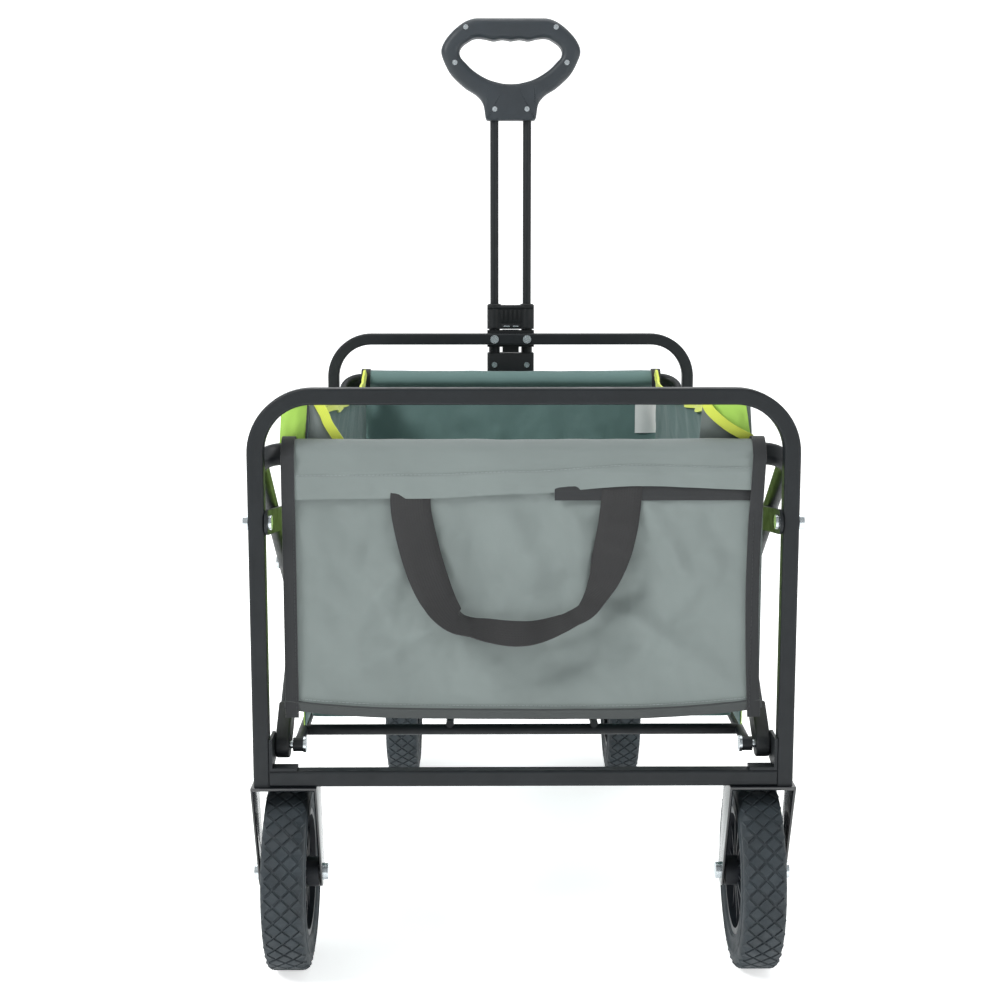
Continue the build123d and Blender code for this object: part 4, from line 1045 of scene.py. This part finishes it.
# %% Pull grip
GRIP_OUTER = (  # millimetres from the middle, and down from the top
    (0, 0), (15, 0), (30, 0), (42, 0), (52, 0.4), (61, 3), (70, 7.8), (82, 17.5), (93.5, 31), (99, 45),
    (95.5, 59), (85, 78), (66, 96), (49, 107), (39.5, 119), (36, 138),
)
GRIP_HOLE = (
    (0, 31), (12.5, 29.2), (24.5, 31), (36, 28.6), (46, 27.5), (54, 28.6), (61, 32.5), (67.5, 37),
    (71.5, 42), (73, 47.5), (71, 54.8), (64.5, 62), (56, 70.5), (44, 79), (31, 85.5), (17, 89.6),
)
NECK_OUTER = ((36, 138), (34.9, 141), (32, 142), (16, 142), (0, 142))
NECK_HOLE = ((13, 90.4), (10, 90.8), (7, 91), (3.5, 91.2), (0, 91.3))
GRIP_SCREWS = ((64, 13), (79.5, 62), (23, 126.6))
OUT_ROUND, NECK_ROUND, HOLE_ROUND = 9 * MM, 2.5 * MM, 7 * MM  # rounding of the edges
shell_low, shell_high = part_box("grip_rear_shell")
other_low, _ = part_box("grip_front_shell")
grip_top, grip_mid = shell_high.z, (shell_high.y + other_low.y) / 2
grip_half = grip_mid - shell_low.y


def grip_loops():
    """Matching points round the outline and the hole, as (x, z) in metres."""
    loops = []
    for curve, neck in ((GRIP_OUTER, NECK_OUTER), (GRIP_HOLE, NECK_HOLE)):
        straight = [np.array(start, float) + (np.array(stop, float) - start) * share
                    for start, stop in zip(neck, neck[1:]) for share in np.linspace(0, 1, 5)[:-1]]
        right = np.vstack([smooth_line(curve, 91)[:-1], straight])
        left = right[1:][::-1] * (-1, 1)
        whole = np.vstack([right, [neck[-1]], left])
        loops.append(np.column_stack([whole[:, 0] * MM, grip_top - whole[:, 1] * MM]))
    return loops


def inward(loop, towards):
    """Unit normals of a closed loop that point into the plastic."""
    ahead, behind = np.roll(loop, -1, axis=0), np.roll(loop, 1, axis=0)
    run = ahead - behind
    normals = np.column_stack([run[:, 1], -run[:, 0]])
    normals /= np.linalg.norm(normals, axis=1)[:, None]
    return normals * (1 if ((towards - loop) * normals).sum() > 0 else -1)


def grip_shell(node, way):
    """One half of the grip; way is -1 for the rear shell and +1 for the front one."""
    outer, hole = grip_loops()
    out_normal, hole_normal = inward(outer, hole), inward(hole, outer)
    turns = np.linspace(0, math.pi / 2, 7)
    depth = grip_half
    flat = np.full(len(outer), 1.0)
    rounds = np.array([OUT_ROUND + (NECK_ROUND - OUT_ROUND) * eased((grip_top - z - 0.112) / 0.014)
                       for _, z in outer])
    section = [(outer + out_normal * 0.5 * MM, flat * 0.1 * MM), (outer, flat * 0.7 * MM)]
    for a in turns:
        pulled = (rounds * (1 - math.cos(a)))[:, None]
        section.append((outer + out_normal * pulled, depth - rounds * (1 - math.sin(a))))
    for a in turns:
        section.append((hole + hole_normal * HOLE_ROUND * (1 - math.sin(a)),
                        flat * (depth - HOLE_ROUND * (1 - math.cos(a)))))
    section += [(hole, flat * 0.7 * MM), (hole + hole_normal * 0.5 * MM, flat * 0.1 * MM)]
    corners, faces = [], []
    rings, count = len(section), len(outer)
    for points, deep in section:
        corners += [(x, grip_mid + way * d, z) for (x, z), d in zip(points, deep)]
    for j in range(rings):
        for i in range(count):
            a, b = j * count + i, j * count + (i + 1) % count
            c, d = ((j + 1) % rings) * count + (i + 1) % count, ((j + 1) % rings) * count + i
            faces.append((a, b, c, d))
    made = crisp(outward(mesh_object(node + "_form", corners, faces, grip_plastic)), 40)
    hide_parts(node)
    belongs("handle_upper", "grip_black", made)
    return made


def screw_head(name, radius, height):
    """A low domed head with a cross recess, facing the rear, at the origin."""
    mesh = bmesh.new()
    bmesh.ops.create_circle(mesh, cap_ends=True, radius=radius, segments=32)
    face = mesh.faces[:]
    for inset, deep in ((0.0, height * 0.55), (radius * 0.18, height * 0.3), (radius * 0.25, height * 0.15)):
        if inset:
            bmesh.ops.inset_individual(mesh, faces=face, thickness=inset, use_even_offset=True)
        grown_face = bmesh.ops.extrude_discrete_faces(mesh, faces=face)
        face = grown_face["faces"]
        bmesh.ops.translate(mesh, verts=face[0].verts[:], vec=(0, 0, deep))
    for angle in (0, math.pi / 2):
        box = bmesh.ops.create_cube(mesh, size=1.0)["verts"]
        bmesh.ops.scale(mesh, verts=box, vec=(radius * 0.95, radius * 0.2, height * 0.16))
        bmesh.ops.translate(mesh, verts=box, vec=(0, 0, height))
        bmesh.ops.rotate(mesh, verts=box, cent=(0, 0, 0), matrix=Matrix.Rotation(angle, 3, "Z"))
    bmesh.ops.rotate(mesh, verts=mesh.verts[:], cent=(0, 0, 0), matrix=Matrix.Rotation(math.pi / 2, 3, "X"))
    data = bpy.data.meshes.new(name)
    mesh.to_mesh(data)
    mesh.free()
    made = bpy.data.objects.new(name, data)
    bpy.context.scene.collection.objects.link(made)
    return made


def screws(name, places, radius, height, body):
    """Screw heads at several places, made as one piece."""
    mesh = bpy.data.meshes.new(name + "_places")
    mesh.from_pydata(places, [], [])
    spots = bpy.data.objects.new(name + "_places", mesh)
    bpy.context.scene.collection.objects.link(spots)
    made = grown(screw_head(name, radius, height), PLACES, Places=spots, Material=zinc)
    bpy.data.objects.remove(spots)
    belongs(body, "fastener_zinc", crisp(outward(made), 30))
    return made


grip_shells = [grip_shell("grip_rear_shell", -1), grip_shell("grip_front_shell", 1)]
screw_places = [(side * x * MM, shell_low.y + 0.6 * MM, grip_top - down * MM)
                for x, down in GRIP_SCREWS for side in (-1, 1)]
heads = screws("grip_screw_heads", screw_places, 3.6 * MM, 1.8 * MM, "handle_upper")
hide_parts("grip_screws")
print("grip", len(grip_shells[0].data.vertices), "corners a shell")

# %% [markdown]
# The lock housing is a moulded block with a round barrel over each rod, a ribbed recess between
# them and a thicker band round its top, where a small collar crowns each barrel. The block behind
# stays as it is; these are added round it.

# %% Lock housing
lock_low, lock_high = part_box("lock_housing")
rod_low, rod_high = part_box("rods")
rod_x = rod_high.x - (rod_high.y - rod_low.y) / 2


def rounded_bar(name, low, high, radius, material, segments=3):
    """A block with rounded edges."""
    low, high = Vector(low), Vector(high)
    corners = [(x, y, z) for z in (low.z, high.z) for y in (low.y, high.y) for x in (low.x, high.x)]
    faces = [(0, 1, 3, 2), (4, 5, 7, 6), (0, 1, 5, 4), (2, 3, 7, 6), (0, 2, 6, 4), (1, 3, 7, 5)]
    made = outward(mesh_object(name, corners, faces, material))
    return crisp(modified(made, ("BEVEL", {"width": radius, "segments": segments})), 40)


def barrel(name, x, y, low_z, high_z, radius, material, chamfer=1 * MM):
    """An upright cylinder with chamfered rims."""
    rings = [(radius - chamfer, low_z), (radius, low_z + chamfer),
             (radius, high_z - chamfer), (radius - chamfer, high_z)]
    corners, faces, count = [], [], 40
    for reach, z in rings:
        angles = [math.tau * i / count for i in range(count)]
        corners += [(x + reach * math.cos(a), y + reach * math.sin(a), z) for a in angles]
    for j in range(3):
        for i in range(count):
            after = (i + 1) % count
            faces.append((j * count + i, j * count + after, (j + 1) * count + after, (j + 1) * count + i))
    faces += [tuple(range(count)), tuple(range(3 * count, 4 * count))]
    return crisp(outward(mesh_object(name, corners, faces, material)), 40)


def joined(name, *pieces):
    """Several meshes as one object."""
    corners, faces, count = [], [], 0
    for piece in pieces:
        corners += [v.co.copy() for v in piece.data.vertices]
        faces += [tuple(count + i for i in p.vertices) for p in piece.data.polygons]
        count = len(corners)
    material = pieces[0].data.materials[0]
    for piece in pieces:
        bpy.data.objects.remove(piece)
    return crisp(mesh_object(name, corners, faces, material), 40)


face_y, foot_z, top_z = lock_low.y, lock_low.z, lock_high.z


def on_face(name, left, right, proud, deep, low_z, high_z, radius, material, segments=2):
    """A rounded block that runs from proud of the housing's rear face to deep behind it."""
    return rounded_bar(name, (left, face_y - proud, low_z), (right, face_y + deep, high_z),
                       radius, material, segments)


lock_parts = []
for side in (-1, 1):
    lock_parts.append(barrel(f"barrel_{side}", side * rod_x, face_y + 6.5 * MM, foot_z + 1 * MM,
                             top_z - 4.5 * MM, 8.6 * MM, moulded))
    lock_parts.append(barrel(f"collar_{side}", side * rod_x, face_y + 7.5 * MM, top_z - 5 * MM,
                             top_z + 2 * MM, 9.6 * MM, moulded))
lock_parts.append(on_face("band", lock_low.x + 0.5 * MM, lock_high.x - 0.5 * MM, 1.6 * MM, 4 * MM,
                          top_z - 5 * MM, top_z - 0.2 * MM, 1.2 * MM, moulded, 3))
for i in range(5):
    x = (i - 2) * 6.4 * MM
    lock_parts.append(on_face(f"rib_{i}", x - 1.3 * MM, x + 1.3 * MM, 2.2 * MM, 1.5 * MM,
                              foot_z + 9 * MM, top_z - 7 * MM, 0.7 * MM, moulded))
lock_parts.append(on_face("sill", -13.5 * MM, 13.5 * MM, 2.6 * MM, 1.5 * MM,
                          foot_z + 1.5 * MM, foot_z + 7 * MM, 0.9 * MM, moulded))
lock_details = joined("lock_details", *lock_parts)
belongs(body_of["lock_housing"], "fitting_black", lock_details)
pins = joined("lock_pins", *(on_face(f"pin_{i}", left * MM, right * MM, 3.2 * MM, -1 * MM, foot_z + 3.2 * MM,
                                     foot_z + 5 * MM, 0.5 * MM, zinc)
                             for i, (left, right) in enumerate(((-10, -1.5), (3, 11)))))
belongs(body_of["lock_housing"], "fastener_zinc", pins)
print("lock details", len(lock_details.data.polygons), "faces")

# %% [markdown]
# The studio floor is one pale sheet that curves up into a wall a long way back, so no horizon shows.
# It gives off a little light of its own to stay near white where the lamps don't reach. It isn't part
# of the wagon.

# %% Studio floor
sky = world.node_tree
white = add(sky, "ShaderNodeBackground", {"Color": (1, 1, 1, 1), "Strength": 1.0}).outputs[0]
seen = add(sky, "ShaderNodeLightPath").outputs["Is Camera Ray"]
mixed = add(sky, "ShaderNodeMixShader", {0: seen, 1: sky.nodes["Background"].outputs[0], 2: white})
sky.links.new(mixed.outputs[0], sky.nodes["World Output"].inputs["Surface"])
sweep = [(y, 0.0) for y in (-30, 0, 6)]
sweep += [(6 + 8 * math.sin(a), 8 - 8 * math.cos(a)) for a in np.linspace(0.2, math.pi / 2, 12)]
sweep.append((14, 40))
floor_paint = rigid_finish("studio_floor", paint(248, 249, 249), 0.9, 40, 0.0001, 0.004,
                           Emission_Color=(1, 1, 1, 1), Emission_Strength=0.62)
floor = mesh_object("floor", [(x, y, z) for y, z in sweep for x in (-40, 40)],
                    [(2 * i, 2 * i + 1, 2 * i + 3, 2 * i + 2) for i in range(len(sweep) - 1)], floor_paint)
floor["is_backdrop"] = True

# %% [markdown]
# When the wagon folds, the side cloth and the middle of the floor gather and flatten along the
# wagon's length. Here they only get a mesh of their own, and everything else keeps to its own rigid part.

# %% Own meshes for the side cloth and the middle mat
for piece in wall_pieces:
    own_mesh(piece)
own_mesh(mats[2])

# %% The visual box
low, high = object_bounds()
print("visual box", [round(a, 3) for a in low], [round(a, 3) for a in high])
